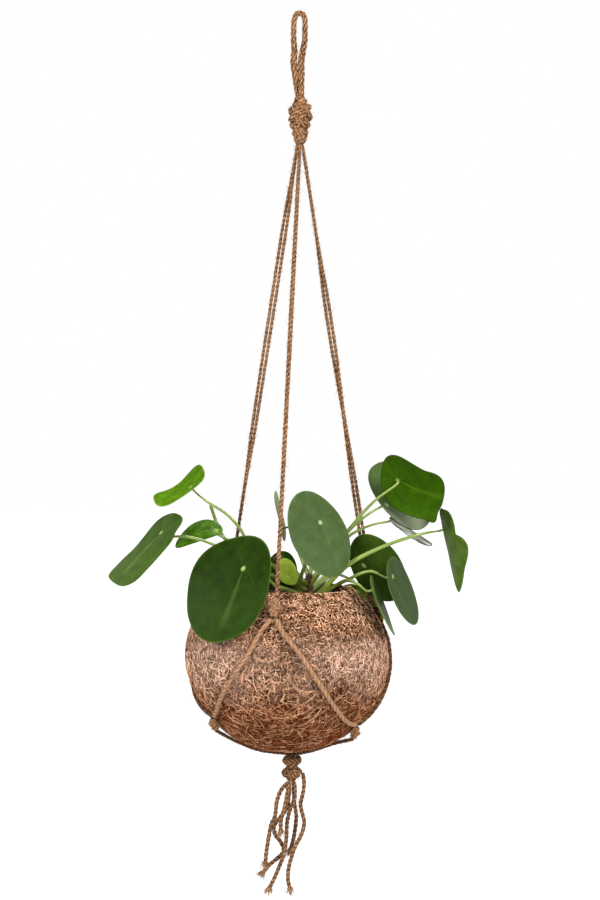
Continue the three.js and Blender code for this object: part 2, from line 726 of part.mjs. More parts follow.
makeCoirPot();
makeLiner();
makeSoil();
makeStemAndStalks();
makeLeaves();
makeLoop();
makeTopKnot();
makeLegs();
makeTieKnots();
makeNet();
makeLowerKnots();
makeUnderCords();
makeBottomKnot();
makeTassel();

export default part;
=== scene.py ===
import math

import bpy
import numpy as np
from mathutils import Matrix, Vector


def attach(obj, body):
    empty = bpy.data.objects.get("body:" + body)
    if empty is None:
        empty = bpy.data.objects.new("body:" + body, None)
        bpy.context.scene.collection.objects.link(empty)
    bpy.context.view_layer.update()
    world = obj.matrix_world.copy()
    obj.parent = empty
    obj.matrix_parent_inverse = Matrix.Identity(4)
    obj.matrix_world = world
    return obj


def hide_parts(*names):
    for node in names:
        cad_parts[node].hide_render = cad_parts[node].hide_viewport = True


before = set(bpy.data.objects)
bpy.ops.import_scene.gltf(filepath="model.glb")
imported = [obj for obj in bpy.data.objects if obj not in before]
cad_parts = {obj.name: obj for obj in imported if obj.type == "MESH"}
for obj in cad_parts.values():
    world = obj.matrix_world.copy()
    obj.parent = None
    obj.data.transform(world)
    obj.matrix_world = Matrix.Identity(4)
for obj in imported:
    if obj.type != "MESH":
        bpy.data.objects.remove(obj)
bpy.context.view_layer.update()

mm = 0.001
print("frame loaded:", len(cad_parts), "nodes")

# Camera: level, a little rolled, at about half the hanger's height
camera = {"place": (0.0093, -1.35, -0.434), "lens": 54.0, "sensor": 36.0, "leanDegrees": 1.16}


def makeCamera():
    data = bpy.data.cameras.new("studio_camera")
    data.lens = camera["lens"]
    data.sensor_width = camera["sensor"]
    item = bpy.data.objects.new("studio_camera", data)
    bpy.context.scene.collection.objects.link(item)
    lean = math.radians(camera["leanDegrees"])
    c, s = math.cos(lean), math.sin(lean)
    x, y, z = camera["place"]
    item.matrix_world = Matrix(((c, -s, 0, x), (0, 0, -1, y), (s, c, 0, z), (0, 0, 0, 1)))
    bpy.context.scene.camera = item


makeCamera()


# Colours are written as they look on a screen in the studio's light, 0 to 255. They are turned into
# linear light and divided by how brightly the studio lights a white card.
lightLevel = 2.2


def tone(red, green, blue):
    share = np.array([red, green, blue]) / 255.0
    linear = np.where(share <= 0.04045, share / 12.92, ((share + 0.055) / 1.055) ** 2.4)
    return (*[float(v) / lightLevel for v in linear], 1.0)


# Shader maths: a wrapped socket whose operators add Math nodes
class Wire:
    def __init__(self, finish, socket):
        self.finish = finish
        self.socket = socket

    def maths(self, operation, other=None, clamp=False):
        values = {0: self} if other is None else {0: self, 1: other}
        return self.finish.node("ShaderNodeMath", {"operation": operation, "use_clamp": clamp}, values)

    def __add__(self, other):
        return self.maths("ADD", other)

    def __mul__(self, other):
        return self.maths("MULTIPLY", other)

    def __sub__(self, other):
        return self.maths("SUBTRACT", other)

    def __truediv__(self, other):
        return self.maths("DIVIDE", other)

    def __rsub__(self, other):
        return self.finish.node("ShaderNodeMath", {"operation": "SUBTRACT"}, {0: other, 1: self})

    def band(self, low, high):  # 0 below low, 1 above high, straight between them
        values = {"Value": self, "From Min": low, "From Max": high}
        return self.finish.node("ShaderNodeMapRange", {"clamp": True}, values)


class Finish:
    def __init__(self, name):
        self.material = bpy.data.materials.new(name)
        self.material.use_nodes = True
        self.tree = self.material.node_tree
        self.tree.nodes.clear()
        self.shader = self.tree.nodes.new("ShaderNodeBsdfPrincipled")
        output = self.tree.nodes.new("ShaderNodeOutputMaterial")
        self.tree.links.new(self.shader.outputs[0], output.inputs["Surface"])

    def fill(self, item, values):
        for key, value in values.items():
            if isinstance(value, Wire):
                self.tree.links.new(value.socket, item.inputs[key])
            else:
                item.inputs[key].default_value = value

    def node(self, kind, settings, values, output=0):
        item = self.tree.nodes.new(kind)
        for key, value in settings.items():
            setattr(item, key, value)
        self.fill(item, values)
        return Wire(self, item.outputs[output])

    def place(self, kind="Object"):
        return self.node("ShaderNodeTexCoord", {}, {}, kind)

    def part(self, vector, axis):
        return self.node("ShaderNodeSeparateXYZ", {}, {0: vector}, axis)

    def value(self, name):
        return self.node("ShaderNodeAttribute", {"attribute_name": name}, {}, "Fac")

    def stretched(self, vector, scale, turn=(0, 0, 0)):
        return self.node("ShaderNodeMapping", {}, {"Vector": vector, "Scale": scale, "Rotation": turn})

    def noise(self, vector, scale, detail=3.0, roughness=0.55, distortion=0.0):
        values = {"Vector": vector, "Scale": scale, "Detail": detail, "Roughness": roughness}
        return self.node("ShaderNodeTexNoise", {}, {**values, "Distortion": distortion})

    def mix(self, share, first, second):
        return self.node("ShaderNodeMix", {"data_type": "RGBA"}, {0: share, 6: first, 7: second}, 2)

    def bump(self, height, strength, distance):
        return self.node("ShaderNodeBump", {}, {"Height": height, "Strength": strength, "Distance": distance})

    def done(self, **inputs):
        names = {
            "color": "Base Color", "roughness": "Roughness", "normal": "Normal",
            "specular": "Specular IOR Level",
        }
        self.fill(self.shader, {names[key]: value for key, value in inputs.items()})
        return self.material


# Surfaces: every piece is made of tubes, given as whole arrays of points in rows round a line.
# grid has the shape (copies, rows, sides, 3); each tube is closed round and capped at both ends.
def tubeMesh(name, shapes):
    places, corners, starts, flatUv, values = [], [], [], [], {}
    first = cornerCount = 0
    for shape in shapes:
        grid = shape["grid"]
        copies, rows, sides, _ = grid.shape
        base = first + np.arange(copies)[:, None, None] * rows * sides
        i = np.arange(rows - 1)[None, :, None]
        j = np.arange(sides)[None, None, :]
        k = (j + 1) % sides
        ring, nextRing = base + i * sides, base + (i + 1) * sides
        quads = np.stack([ring + j, ring + k, nextRing + k, nextRing + j], -1).reshape(-1, 4)
        foot = base[:, 0] + np.arange(sides)[None, ::-1]
        head = base[:, 0] + (rows - 1) * sides + np.arange(sides)[None, :]
        corners += [quads.ravel(), foot.ravel(), head.ravel()]
        starts.append(cornerCount + np.arange(len(quads)) * 4)
        cornerCount += len(quads) * 4
        starts.append(cornerCount + np.arange(2 * copies) * sides)
        cornerCount += 2 * copies * sides
        uv = np.broadcast_to(shape.get("uv", 0.0), (copies, rows, sides + 1, 2))
        low, high = uv[:, :-1], uv[:, 1:]
        quadUv = np.stack([low[:, :, :-1], low[:, :, 1:], high[:, :, 1:], high[:, :, :-1]], 3)
        caps = [uv[:, 0, :-1][:, ::-1], uv[:, -1, :-1]]
        flatUv += [part.reshape(-1, 2) for part in (quadUv, *caps)]
        for key, value in shape.get("values", {}).items():
            values.setdefault(key, []).append(np.broadcast_to(value, (copies, rows, sides)).ravel())
        places.append(grid.reshape(-1, 3))
        first += copies * rows * sides
    mesh = bpy.data.meshes.new(name)
    flat = np.concatenate(places).astype(np.float32)
    mesh.vertices.add(len(flat))
    mesh.vertices.foreach_set("co", flat.ravel())
    mesh.loops.add(cornerCount)
    mesh.loops.foreach_set("vertex_index", np.concatenate(corners).astype(np.int32))
    allStarts = np.concatenate(starts).astype(np.int32)
    mesh.polygons.add(len(allStarts))
    mesh.polygons.foreach_set("loop_start", allStarts)
    mesh.polygons.foreach_set("use_smooth", np.ones(len(allStarts), bool))
    layer = mesh.uv_layers.new(name="lay")
    layer.data.foreach_set("uv", np.concatenate(flatUv).astype(np.float32).ravel())
    for key, value in values.items():
        attribute = mesh.attributes.new(key, "FLOAT", "POINT")
        attribute.data.foreach_set("value", np.concatenate(value).astype(np.float32))
    mesh.update(calc_edges=True)
    return mesh


def addPiece(name, shapes, material, slotName, nodes=()):
    mesh = tubeMesh(name, shapes)
    mesh.materials.append(material)
    item = bpy.data.objects.new(name, mesh)
    bpy.context.scene.collection.objects.link(item)
    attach(item, "root")
    if nodes:
        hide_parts(*nodes)
    return item


def addTwine(name, shapes, *nodes):
    return addPiece(name, shapes, jute, "jute", nodes)


# How pale a piece's twine is: above 0 it goes towards pale, below 0 it darkens towards dark brown as painted
# shade
def setPaleAndShade(shape, value):
    shape["values"]["paleAndShade"] = np.full((1, 1, 1), value)
    return shape


def unit(vectors):
    return vectors / np.maximum(np.linalg.norm(vectors, axis=-1, keepdims=True), 1e-12)


def roundAngles(sides):
    return np.linspace(0, 2 * math.pi, sides, endpoint=False)


# Circles round a centre: cos(angle) first + sin(angle) second
def roundRing(sides, first, second):
    angle = roundAngles(sides)[:, None]
    return np.cos(angle) * first[..., None, :] + np.sin(angle) * second[..., None, :]


# Pseudo-random relief: a sum of sine waves in drawn directions, between about -1 and 1
def relief(points, wavelength, seed, waves=7):
    draw = np.random.default_rng(seed)
    direction = unit(draw.normal(size=(waves, 3))) * draw.uniform(0.7, 1.6, (waves, 1))
    phase = draw.uniform(0, 2 * math.pi, waves)
    angle = points @ (direction.T * 2 * math.pi / wavelength) + phase
    return np.sin(angle).sum(-1) / math.sqrt(waves * 2)


def lengthsAlong(line):
    return np.concatenate([[0], np.cumsum(np.linalg.norm(np.diff(line, axis=0), axis=1))])


def resampled(line, count):
    lengths = lengthsAlong(line)
    even = np.linspace(0, lengths[-1], count)
    return np.stack([np.interp(even, lengths, column) for column in line.T], -1)


# A smooth route: centripetal Catmull-Rom curve through the points, then evenly spaced along its length
def smoothRoute(points, spacing):
    p = np.asarray(points, float)
    p = np.vstack([2 * p[0] - p[1], p, 2 * p[-1] - p[-2]])
    a, b, c, d = p[:-3], p[1:-2], p[2:-1], p[3:]
    gaps = [np.linalg.norm(high - low, axis=1)[:, None] ** 0.5 for low, high in ((a, b), (b, c), (c, d))]
    slopeB = ((b - a) / gaps[0] - (c - a) / (gaps[0] + gaps[1]) + (c - b) / gaps[1]) * gaps[1]
    slopeC = ((c - b) / gaps[1] - (d - b) / (gaps[1] + gaps[2]) + (d - c) / gaps[2]) * gaps[1]
    t = np.linspace(0, 1, 24, endpoint=False)[None, :, None]
    b, c, slopeB, slopeC = (q[:, None, :] for q in (b, c, slopeB, slopeC))
    curve = (2 * t**3 - 3 * t**2 + 1) * b + (t**3 - 2 * t**2 + t) * slopeB
    curve = curve + (3 * t**2 - 2 * t**3) * c + (t**3 - t**2) * slopeC
    curve = np.vstack([curve.reshape(-1, 3), p[-2]])
    return resampled(curve, max(3, int(math.ceil(lengthsAlong(curve)[-1] / spacing)) + 1))


# Twisted cord: the section is R (1 - depth (1 - |cos(plies (angle - twist) / 2)| ^ 0.7)), which turns
# once round in each pitch of length; its two ends draw in over the last bit
def ropeShape(centres, reference, radius, plies, pitch, depth, sides=18, endDraw=0.35):
    tangent = unit(np.gradient(centres, axis=0))
    side = unit(np.cross(tangent, np.broadcast_to(reference, centres.shape)))
    other = np.cross(tangent, side)
    along = lengthsAlong(centres)
    girth = np.broadcast_to(radius, along.shape)
    fromEnd = np.minimum(along, along[-1] - along) / girth
    drawn = endDraw + (1 - endDraw) * np.sqrt(np.clip(fromEnd * (2 - fromEnd), 0, 1))
    girth = girth * np.where(fromEnd < 1, drawn, 1)
    turn = roundAngles(sides)[None, :] - 2 * math.pi * along[:, None] / pitch
    crest = np.abs(np.cos(plies * turn / 2)) ** 0.7
    reach = girth[:, None] * (1 - depth * (1 - crest))
    grid = centres[:, None, :] + reach[..., None] * roundRing(sides, side, other)
    share = np.linspace(0, 1, sides + 1)
    uv = np.stack(np.broadcast_arrays(share[None, :], along[:, None]), -1)
    return {"grid": grid[None], "uv": uv[None], "values": {"crest": crest[None]}}


# Fine fibres: each is a thin bent tube that starts at a point, runs one way and curls towards another
def addFibres(name, look, draw, starts, forward, bend, lengths, radius, rows=4, shades=(0, 1)):
    shade = draw.uniform(*shades, len(starts))[:, None, None]
    t = np.linspace(0, 1, rows)[None, :, None]
    forward, bend = forward[:, None, :], bend[:, None, :]
    centres = starts[:, None, :] + lengths[:, None, None] * (t * forward + t**2 * bend)
    tangent = unit(forward + 2 * t * bend)
    pole = unit(np.cross(forward, bend) + 1e-6)
    thin = np.broadcast_to(radius, lengths.shape)[:, None] * (1 - 0.75 * t[..., 0] ** 2)
    ring = roundRing(3, pole, unit(np.cross(tangent, pole)))
    grid = centres[:, :, None, :] + thin[:, :, None, None] * ring
    addPiece(name, [{"grid": grid, "values": {"tone": shade}}], *look)


print("tools ready")


# Finishes
def juteFinish():
    finish = Finish("jute")
    lay = finish.place("UV")
    fine = finish.noise(finish.stretched(lay, (9, 260, 1)), 1.0, 4, 0.65)
    threads = finish.noise(finish.stretched(lay, (34, 1400, 1)), 1.0, 3, 0.7)
    patches = finish.noise(finish.place(), 70, 3, 0.6)
    crest = finish.value("crest")
    base = finish.mix(patches.band(0.38, 0.62), tone(106, 60, 34), tone(180, 124, 82))
    # Fine streaks along the twine: partly pale fibres, partly painted highlights.
    base = finish.mix(fine.band(0.42, 0.62) * 0.85, base, tone(258, 206, 152))
    # Thin dark lines between the threads are painted shade.
    base = finish.mix(threads.band(0.48, 0.58) * 0.8, base, tone(72, 36, 22))
    paleAndShade = finish.value("paleAndShade")
    base = finish.mix(paleAndShade * 0.5, base, tone(242, 186, 146))
    # Below 0 the twine darkens as painted shade.
    base = finish.mix(paleAndShade * -0.8, base, tone(52, 28, 14))
    # The grooves between the plies are darkened as painted shade, less on pale pieces.
    grooveShade = 1 - crest.band(0.2, 0.9)
    base = finish.mix(grooveShade * (0.94 - paleAndShade * 0.3), base, tone(56, 28, 15))
    bump = finish.bump(fine + threads * 0.6, 0.55, 0.0005)
    return finish.done(color=base, roughness=0.86, normal=bump, specular=0.04)


def juteFuzzFinish():
    finish = Finish("jute_fuzz")
    base = finish.mix(finish.value("tone"), tone(120, 76, 44), tone(270, 214, 160))
    return finish.done(color=base, roughness=0.8, specular=0.0)


# The coir is paler in a band round the pot's middle, partly dust and partly painted light where the side
# lights strike, most of all at its sides; it is painted lighter towards the rim, as painted light from above,
# and is darker and redder below the band, partly its own colour and partly painted shade.
# Each pair is where a zone begins and where it is full, as a height or a distance from the middle, in m.
zones = {
    "dustLightFoot": (-0.672, -0.640), "dustLightHead": (-0.622, -0.600), "aside": (0.0, 0.055),
    "edge": (0.082, 0.1), "low": (-0.692, -0.650), "rim": (-0.612, -0.592),
}


def coirBands(finish, place):
    height, aside = finish.part(place, 2), finish.part(place, 0).maths("ABSOLUTE")
    height = height + finish.noise(place, 22, 4, 0.65) * 0.07 - 0.035
    dustAndLight = height.band(*zones["dustLightFoot"]) * (1 - height.band(*zones["dustLightHead"]))
    dustAndLight = dustAndLight * (aside.band(*zones["aside"]) * 0.75 + 0.25) * (1 - aside.band(*zones["edge"]) * 0.6)
    return dustAndLight, 1 - height.band(*zones["low"]), height.band(*zones["rim"])


def coirFinish():
    finish = Finish("pressed_coir")
    place = finish.place()
    dustAndLight, low, rim = coirBands(finish, place)
    marks = 0
    for turn, size in (((0.2, 0.5, 0.1), 1.0), ((1.1, 0.3, 0.9), 1.05), ((0.4, 1.9, 2.2), 1.1)):
        vector = finish.stretched(place, (190, 760, 760), turn)
        marks = finish.noise(vector, size, 2, 0.6, 0.8).band(0.56, 0.62) + marks
    clumps = finish.noise(place, 420, 3, 0.7)
    gaps = finish.noise(place, 560, 2, 0.6)
    base = finish.mix(clumps.band(0.42, 0.6), tone(34, 16, 8), tone(148, 80, 44))
    base = finish.mix((marks * 0.7).maths("ADD", 0.0, clamp=True), base, tone(280, 214, 160))
    # Towards the rim the coir is painted lighter, as painted light falling from above.
    base = finish.mix(rim * 0.35, base, tone(230, 158, 108))
    # Gaps between the fibres are painted near black, as painted shade.
    base = finish.mix(gaps.band(0.51, 0.56), base, tone(18, 8, 4))
    # The middle band is paler: partly dust, partly painted light from the side lights.
    base = finish.mix(dustAndLight * 0.45, base, tone(262, 212, 180))
    # Low on the pot the coir is darker and redder: partly its own colour, partly painted shade.
    base = finish.mix(low * 0.4, base, tone(112, 50, 20))
    height = marks * 0.7 + clumps - gaps.band(0.48, 0.6)
    return finish.done(color=base, roughness=0.95, normal=finish.bump(height, 0.9, 0.0014), specular=0.0)


def coirHairFinish():
    finish = Finish("coir_hair")
    shade = finish.value("tone")
    dustAndLight, low, rim = coirBands(finish, finish.place())
    base = finish.mix(shade.band(0.2, 0.5), tone(24, 10, 4), tone(168, 90, 50))
    base = finish.mix(shade.band(0.55, 0.85), base, tone(350, 272, 210))
    # Towards the rim the fibres are painted lighter, as painted light falling from above.
    base = finish.mix(rim * shade.band(0.22, 0.55) * 0.85, base, tone(400, 324, 266))
    # The middle band is paler: partly dust, partly painted light from the side lights.
    base = finish.mix(dustAndLight * shade.band(0.2, 0.5) * 0.9, base, tone(375, 312, 274))
    # Low on the pot the fibres are darker and redder: partly their own colour, partly painted shade.
    base = finish.mix(low * (0.62 - shade.band(0.82, 0.9) * 0.4), base, tone(166, 84, 42))
    return finish.done(color=base, roughness=0.7, specular=0.0)


# A leaf's veins leave the pale dot where its stalk joins: seven fine ones all round and a wider, paler
# one towards the tip, partly the midrib's own colour and partly painted reflection. The texture coordinates
# are centimetres from the dot, with x towards the tip.
def leafFinish(name, look):
    look = {**leafDefaults, **look}
    look.update({key: tone(*colour) for key, colour in zip(leafColours, look["colours"])})
    finish = Finish(name)
    uv = finish.place("UV")
    x, y = finish.part(uv, 0), finish.part(uv, 1)
    reach = (x * x + y * y).maths("POWER", 0.5)
    angle = y.maths("ARCTAN2", x) + (finish.noise(uv, 0.55, 2) - 0.5) * 0.5
    fan = (angle * 3.5).maths("SINE").maths("ABSOLUTE") * reach
    veins = (1 - fan.band(0.02, 0.14)) * (1 - reach.band(1.6, 4.6))
    # The band along the midrib is partly the vein's own paler colour and partly painted reflection.
    ridge = 1 - (y.maths("ABSOLUTE") / (x * 0.09 + 0.05)).band(0.3, 1.0)
    ridge = ridge * x.band(0.0, 0.2) * (1 - x.band(4.4, 6.0))
    cells = finish.node("ShaderNodeTexVoronoi", {"feature": "DISTANCE_TO_EDGE"}, {"Vector": uv, "Scale": 2.2})
    net = 1 - cells.band(0.0, 0.1)
    blotch = finish.noise(uv, 0.8, 4, 0.6)
    grain = finish.noise(uv, 14, 3)
    under = finish.value("under")
    edge = finish.value("edge").band(0.975, 1.0)
    patch = blotch.band(0.34, 0.68)
    top = finish.mix(patch, look["topDark"], look["topLight"])
    # A lighter patch towards the tip is painted reflection where the blade bends.
    top = finish.mix(x.band(1.0, 4.8) * look["tipReflectionShare"], top, look["topVein"])
    # One side of the blade is lighter, as painted glare.
    top = finish.mix(y.band(-0.4, 2.6) * look["sideGlareShare"], top, look["topVein"])
    drawn = veins * look["veinShare"] + net * 0.05 + ridge * look["ridgeShare"]
    top = finish.mix(drawn, top, look["topVein"])
    back = finish.mix(patch, look["underDark"], look["underLight"])
    back = finish.mix(veins * 0.35 + ridge * look["underRidge"], back, look["underVein"])
    base = finish.mix(under, top, back)
    base = finish.mix(1 - reach.band(0.12, 0.3), base, look["dot"])
    base = finish.mix(edge * look["rimShare"], base, look["rim"])
    streaks = finish.noise(finish.stretched(uv, (0.3, 1.5, 1)), 1.0, 2).band(0.44, 0.52)
    # Darker streaks run between the painted glare stripes.
    base = finish.mix(streaks * look["streakShare"], base, look["rim"])
    base = finish.mix(grain.band(0.4, 0.7) * 0.16, base, look["topVein"])
    height = veins * -0.5 + ridge * -0.4 + blotch * 1.6 + grain * 0.1 + net * -0.06
    rough = patch * 0.12 + look["rough"]
    bump = finish.bump(height, look["relief"], 0.0009)
    finish.shader.inputs["Emission Color"].default_value = look["topLight"]
    finish.shader.inputs["Emission Strength"].default_value = look["glow"]
    return finish.done(color=base, roughness=rough, normal=bump, specular=look["shine"])


leafColours = ("topDark", "topLight", "topVein", "underDark", "underLight", "underVein", "dot", "rim")
leafDefaults = {
    "slot": "leaf_green", "veinShare": 0.2, "ridgeShare": 0.3, "underRidge": 0.0, "tipReflectionShare": 0.0,
    "sideGlareShare": 0.0, "rimShare": 0.4, "streakShare": 0.0, "rough": 0.38, "shine": 0.02, "relief": 0.35,
    "glow": 0.0,
}
# The underside's three colours and the dot's that some leaves share
plainUnder = [(52, 86, 14), (78, 116, 30), (140, 174, 80), (176, 208, 110)]
leafLooks = {
    "deepLeaf": {
        "colours": [(32, 60, 8), (50, 82, 20), (90, 124, 52), *plainUnder, (104, 138, 56)],
    },
    "roundLeaf": {
        "colours": [(20, 40, 0), (40, 66, 6), (92, 124, 54), *plainUnder, (128, 160, 66)],
        "tipReflectionShare": 0.14, "ridgeShare": 0.35, "rough": 0.36,
    },
    # A leaf's green darkened as painted shade.
    "duskLeaf": {
        "colours": [(48, 72, 12), (66, 94, 24), (96, 126, 52), *plainUnder, (104, 138, 56)],
    },
    "slateLeaf": {
        "colours": [(44, 68, 20), (66, 92, 36), (104, 128, 72), (52, 80, 24), (78, 108, 42), (140, 166, 90),
        (176, 208, 110), (122, 148, 86)],
        "rimShare": 0.6, "ridgeShare": 0.15, "shine": 0.05,
    },
    "midLeaf": {
        "colours": [(66, 98, 22), (104, 138, 50), (150, 178, 96), (70, 100, 26), (104, 138, 50),
        (150, 178, 90), (196, 218, 136), (110, 134, 66)],
        "ridgeShare": 0.12, "rough": 0.36, "shine": 0.03,
    },
    "greenLeaf": {
        "colours": [(70, 112, 10), (108, 158, 24), (150, 186, 70), (66, 104, 14), (100, 148, 30),
        (160, 190, 84), (196, 222, 130), (150, 176, 74)],
        "rimShare": 0.6, "veinShare": 0.25, "ridgeShare": 0.12, "rough": 0.34, "shine": 0.0,
    },
    "paleLeaf": {
        "colours": [(66, 90, 38), (84, 110, 56), (126, 148, 98), (100, 130, 62), (126, 154, 86),
        (168, 190, 128), (196, 212, 146), (140, 160, 100)],
        "slot": "leaf_pale", "veinShare": 0.1, "ridgeShare": 0.04, "rough": 0.42, "shine": 0.1,
    },
    "brightLeaf": {
        "colours": [(72, 118, 10), (104, 156, 26), (160, 196, 84), (42, 82, 0), (62, 106, 0),
        (112, 156, 30), (176, 208, 90), (40, 64, 8)],
        "slot": "leaf_bright", "rimShare": 0.8, "veinShare": 0.3, "ridgeShare": 0.1, "rough": 0.3,
        "shine": 0.0, "underRidge": 0.3,
    },
    "darkLeaf": {
        "colours": [(44, 76, 12), (78, 112, 28), (140, 168, 84), (60, 92, 16), (88, 124, 34),
        (150, 180, 86), (190, 214, 124), (104, 136, 54)],
        "rough": 0.36, "tipReflectionShare": 0.1,
    },
    "glareLeaf": {
        "colours": [(64, 94, 34), (88, 116, 50), (158, 168, 140), (44, 70, 26), (66, 94, 42),
        (158, 168, 140), (196, 212, 146), (60, 80, 40)],
        "slot": "leaf_pale", "rimShare": 0.7, "sideGlareShare": 0.75, "veinShare": 0.1, "ridgeShare": 0.04,
        "rough": 0.3, "shine": 0.05, "relief": 0.08,
    },
    # Near-white colours and dark streaks: painted glare stripes on a blade seen on edge.
    "glareStripeLeaf": {
        "colours": [(150, 158, 132), (250, 252, 240), (260, 262, 250), (104, 112, 84), (206, 210, 190),
        (236, 240, 226), (150, 160, 110), (40, 46, 28)],
        "slot": "leaf_pale", "rimShare": 0.6, "streakShare": 0.85, "veinShare": 0.1, "ridgeShare": 0.04,
        "rough": 0.3, "shine": 0.0, "relief": 0.08,
    },
    "glossLeaf": {
        "colours": [(38, 82, 0), (108, 168, 14), (160, 196, 84), (40, 74, 4), (92, 140, 20), (140, 180, 60),
        (176, 208, 90), (50, 84, 14)],
        "slot": "leaf_bright", "veinShare": 0.3, "ridgeShare": 0.1, "rough": 0.16, "shine": 0.2,
    },
    # Colours brightened beyond a young leaf's own green, and a glow, as painted light on a leaf that lies in
    # the others' shade.
    "youngLeaf": {
        "colours": [(84, 138, 0), (226, 262, 84), (230, 250, 160), (150, 200, 50), (190, 230, 90),
        (220, 245, 150), (235, 250, 180), (180, 220, 90)],
        "slot": "leaf_bright", "veinShare": 0.3, "ridgeShare": 0.2, "rough": 0.24, "shine": 0.2,
        "glow": 0.36,
    },
}


def stalkFinish():
    finish = Finish("leaf_stalk")
    lay = finish.place("UV")
    streak = finish.noise(finish.stretched(lay, (5, 60, 1)), 1.0, 3)
    near = finish.value("near")
    base = finish.mix(streak.band(0.3, 0.7), tone(118, 146, 40), tone(168, 192, 84))
    # Near their feet the stalks are painted brighter yellow-green, as painted light against the shade of the
    # leaves above.
    base = finish.mix(near.band(0.1, 0.5), tone(182, 206, 84), base)
    base = finish.mix(near.band(0.75, 1.0) * 0.6, base, tone(176, 196, 104))
    return finish.done(color=base, roughness=0.38, normal=finish.bump(streak, 0.25, 0.0006))


def barkFinish():
    finish = Finish("woody_stem")
    place = finish.place()
    rings = finish.noise(finish.stretched(place, (120, 120, 520)), 1.0, 4, 0.65)
    flecks = finish.noise(place, 900, 3)
    base = finish.mix(rings.band(0.35, 0.68), tone(66, 36, 24), tone(142, 92, 60))
    base = finish.mix(flecks.band(0.55, 0.75) * 0.5, base, tone(176, 132, 92))
    return finish.done(color=base, roughness=0.8, normal=finish.bump(rings + flecks * 0.3, 0.7, 0.001))


def soilFinish():
    finish = Finish("potting_soil")
    place = finish.place()
    lumps = finish.noise(place, 320, 5, 0.7)
    chips = finish.node("ShaderNodeTexVoronoi", {}, {"Vector": place, "Scale": 420})
    base = finish.mix(lumps.band(0.3, 0.7), tone(26, 18, 13), tone(78, 56, 40))
    base = finish.mix(1 - chips.band(0.08, 0.2), base, tone(128, 98, 70))
    return finish.done(color=base, roughness=0.97, normal=finish.bump(lumps, 0.9, 0.002), specular=0.2)


def plasticFinish():
    finish = Finish("nursery_pot")
    grain = finish.noise(finish.place(), 1400, 2)
    wear = finish.noise(finish.place(), 60, 4)
    base = finish.mix(wear.band(0.4, 0.75), tone(20, 20, 21), tone(44, 43, 41))
    rough = wear.band(0.3, 0.8) * 0.25 + 0.42
    return finish.done(color=base, roughness=rough, normal=finish.bump(grain, 0.2, 0.0003))


jute = juteFinish()
fuzzLook = (juteFuzzFinish(), "jute")
hairLook = (coirHairFinish(), "coir")
coir = coirFinish()
leafFinishes = {name: leafFinish(name, look) for name, look in leafLooks.items()}
stalkGreen = stalkFinish()
bark = barkFinish()
soilBrown = soilFinish()
blackPlastic = plasticFinish()
print("finishes made")

# The pot's shape: an ellipsoid of revolution with an open top
pot = {
    "radius": 101 * mm,
    "centreZ": -642 * mm,
    "upperHalf": 92 * mm,
    "lowerHalf": 91 * mm,
    "rimZ": -571 * mm,
    "wall": 8.5 * mm,
    "floorZ": -702 * mm,
}
potCentre = np.array([0, 0, pot["centreZ"]])
twine = {
    "radius": 1.65 * mm, "lay": 0.85 * mm, "pairSpacing": 4.1 * mm, "pitch": 9.5 * mm, "spacing": 0.8 * mm,
}

# The ball is a little flatter low on its left side
flat = {"azimuth": -80, "z": -688 * mm, "depth": 4.8 * mm, "halfTurn": 45, "halfHeight": 34 * mm}


def flatness(azimuth, z):
    away = (azimuth - flat["azimuth"] + 180) % 360 - 180
    aside, above = away / flat["halfTurn"], (z - flat["z"]) / flat["halfHeight"]
    return flat["depth"] * np.exp(-(aside**2) - above**2)


def halfAt(z):
    return np.where(z > pot["centreZ"], pot["upperHalf"], pot["lowerHalf"])


def potRadius(z):
    return pot["radius"] * np.sqrt(np.clip(1 - ((z - pot["centreZ"]) / halfAt(z)) ** 2, 0, 1))


def shellRadius(azimuth, z):
    return potRadius(z) - flatness(azimuth, z)


# Azimuths run from the viewer's side (-Y) towards +X, in degrees
def around(azimuth, radius, z):
    turn = np.radians(azimuth)
    return np.stack(np.broadcast_arrays(radius * np.sin(turn), -radius * np.cos(turn), z), -1)


def onPot(route, distance):
    azimuth, z = np.asarray(route, float).T * np.array([[1], [mm]])
    outward = potRadius(z) / pot["radius"] ** 2
    upward = (z - pot["centreZ"]) / halfAt(z) ** 2
    share = distance / np.hypot(outward, upward)
    return around(azimuth, shellRadius(azimuth, z) + outward * share, z + upward * share)


cordLines = []  # centre lines and radii of every cord, for the stray fibres


def keepLine(centres, radius):
    cordLines.append((centres, radius))
    return centres


# Tassel: the loose ends of the twine under the bottom knot, in millimetres
tasselCords = [
    [
        [4.2, -3, -765.5], [-3, -4, -774], [-7, -5, -786], [-8, -6, -798], [-12, -6, -808],
        [-14, -6, -820], [-16, -6, -834], [-17, -6, -847],
    ],
    [
        [5, 3.5, -765.2], [5, 4, -782], [3, 4.5, -794], [-4, 5, -804], [-9, 5, -812], [-8, 5, -820],
        [-2, 5, -828], [1, 5, -837], [-5, 5, -844], [-13, 5, -851], [-20, 5, -860],
    ],
    [
        [10.5, -3.5, -765.2], [11, -3, -781], [7, -2, -792], [4, -1, -806], [3.5, 0, -822], [1.5, 0, -838],
        [-2, 0, -848], [-7, 0, -861], [-13, 0, -874],
    ],
    [
        [9.5, 4, -765.2], [10, 7, -778], [11, 8.5, -790], [13, 8.5, -802], [12, 8, -816], [10, 7, -828],
        [7, 6, -837],
    ],
    [
        [18.4, 0.5, -756.5], [20, 0, -765], [19.5, -1, -775], [17, -3, -788], [21, -5, -805],
        [18, -5, -818], [12, -5, -830], [9, -5, -840], [6.5, -5, -850], [6, -5, -861], [8, -5, -872],
    ],
    [[5.5, -7.3, -760.9], [3.5, -9, -776], [1, -9, -790], [-2, -8, -802], [-2.5, -7, -814]],
]


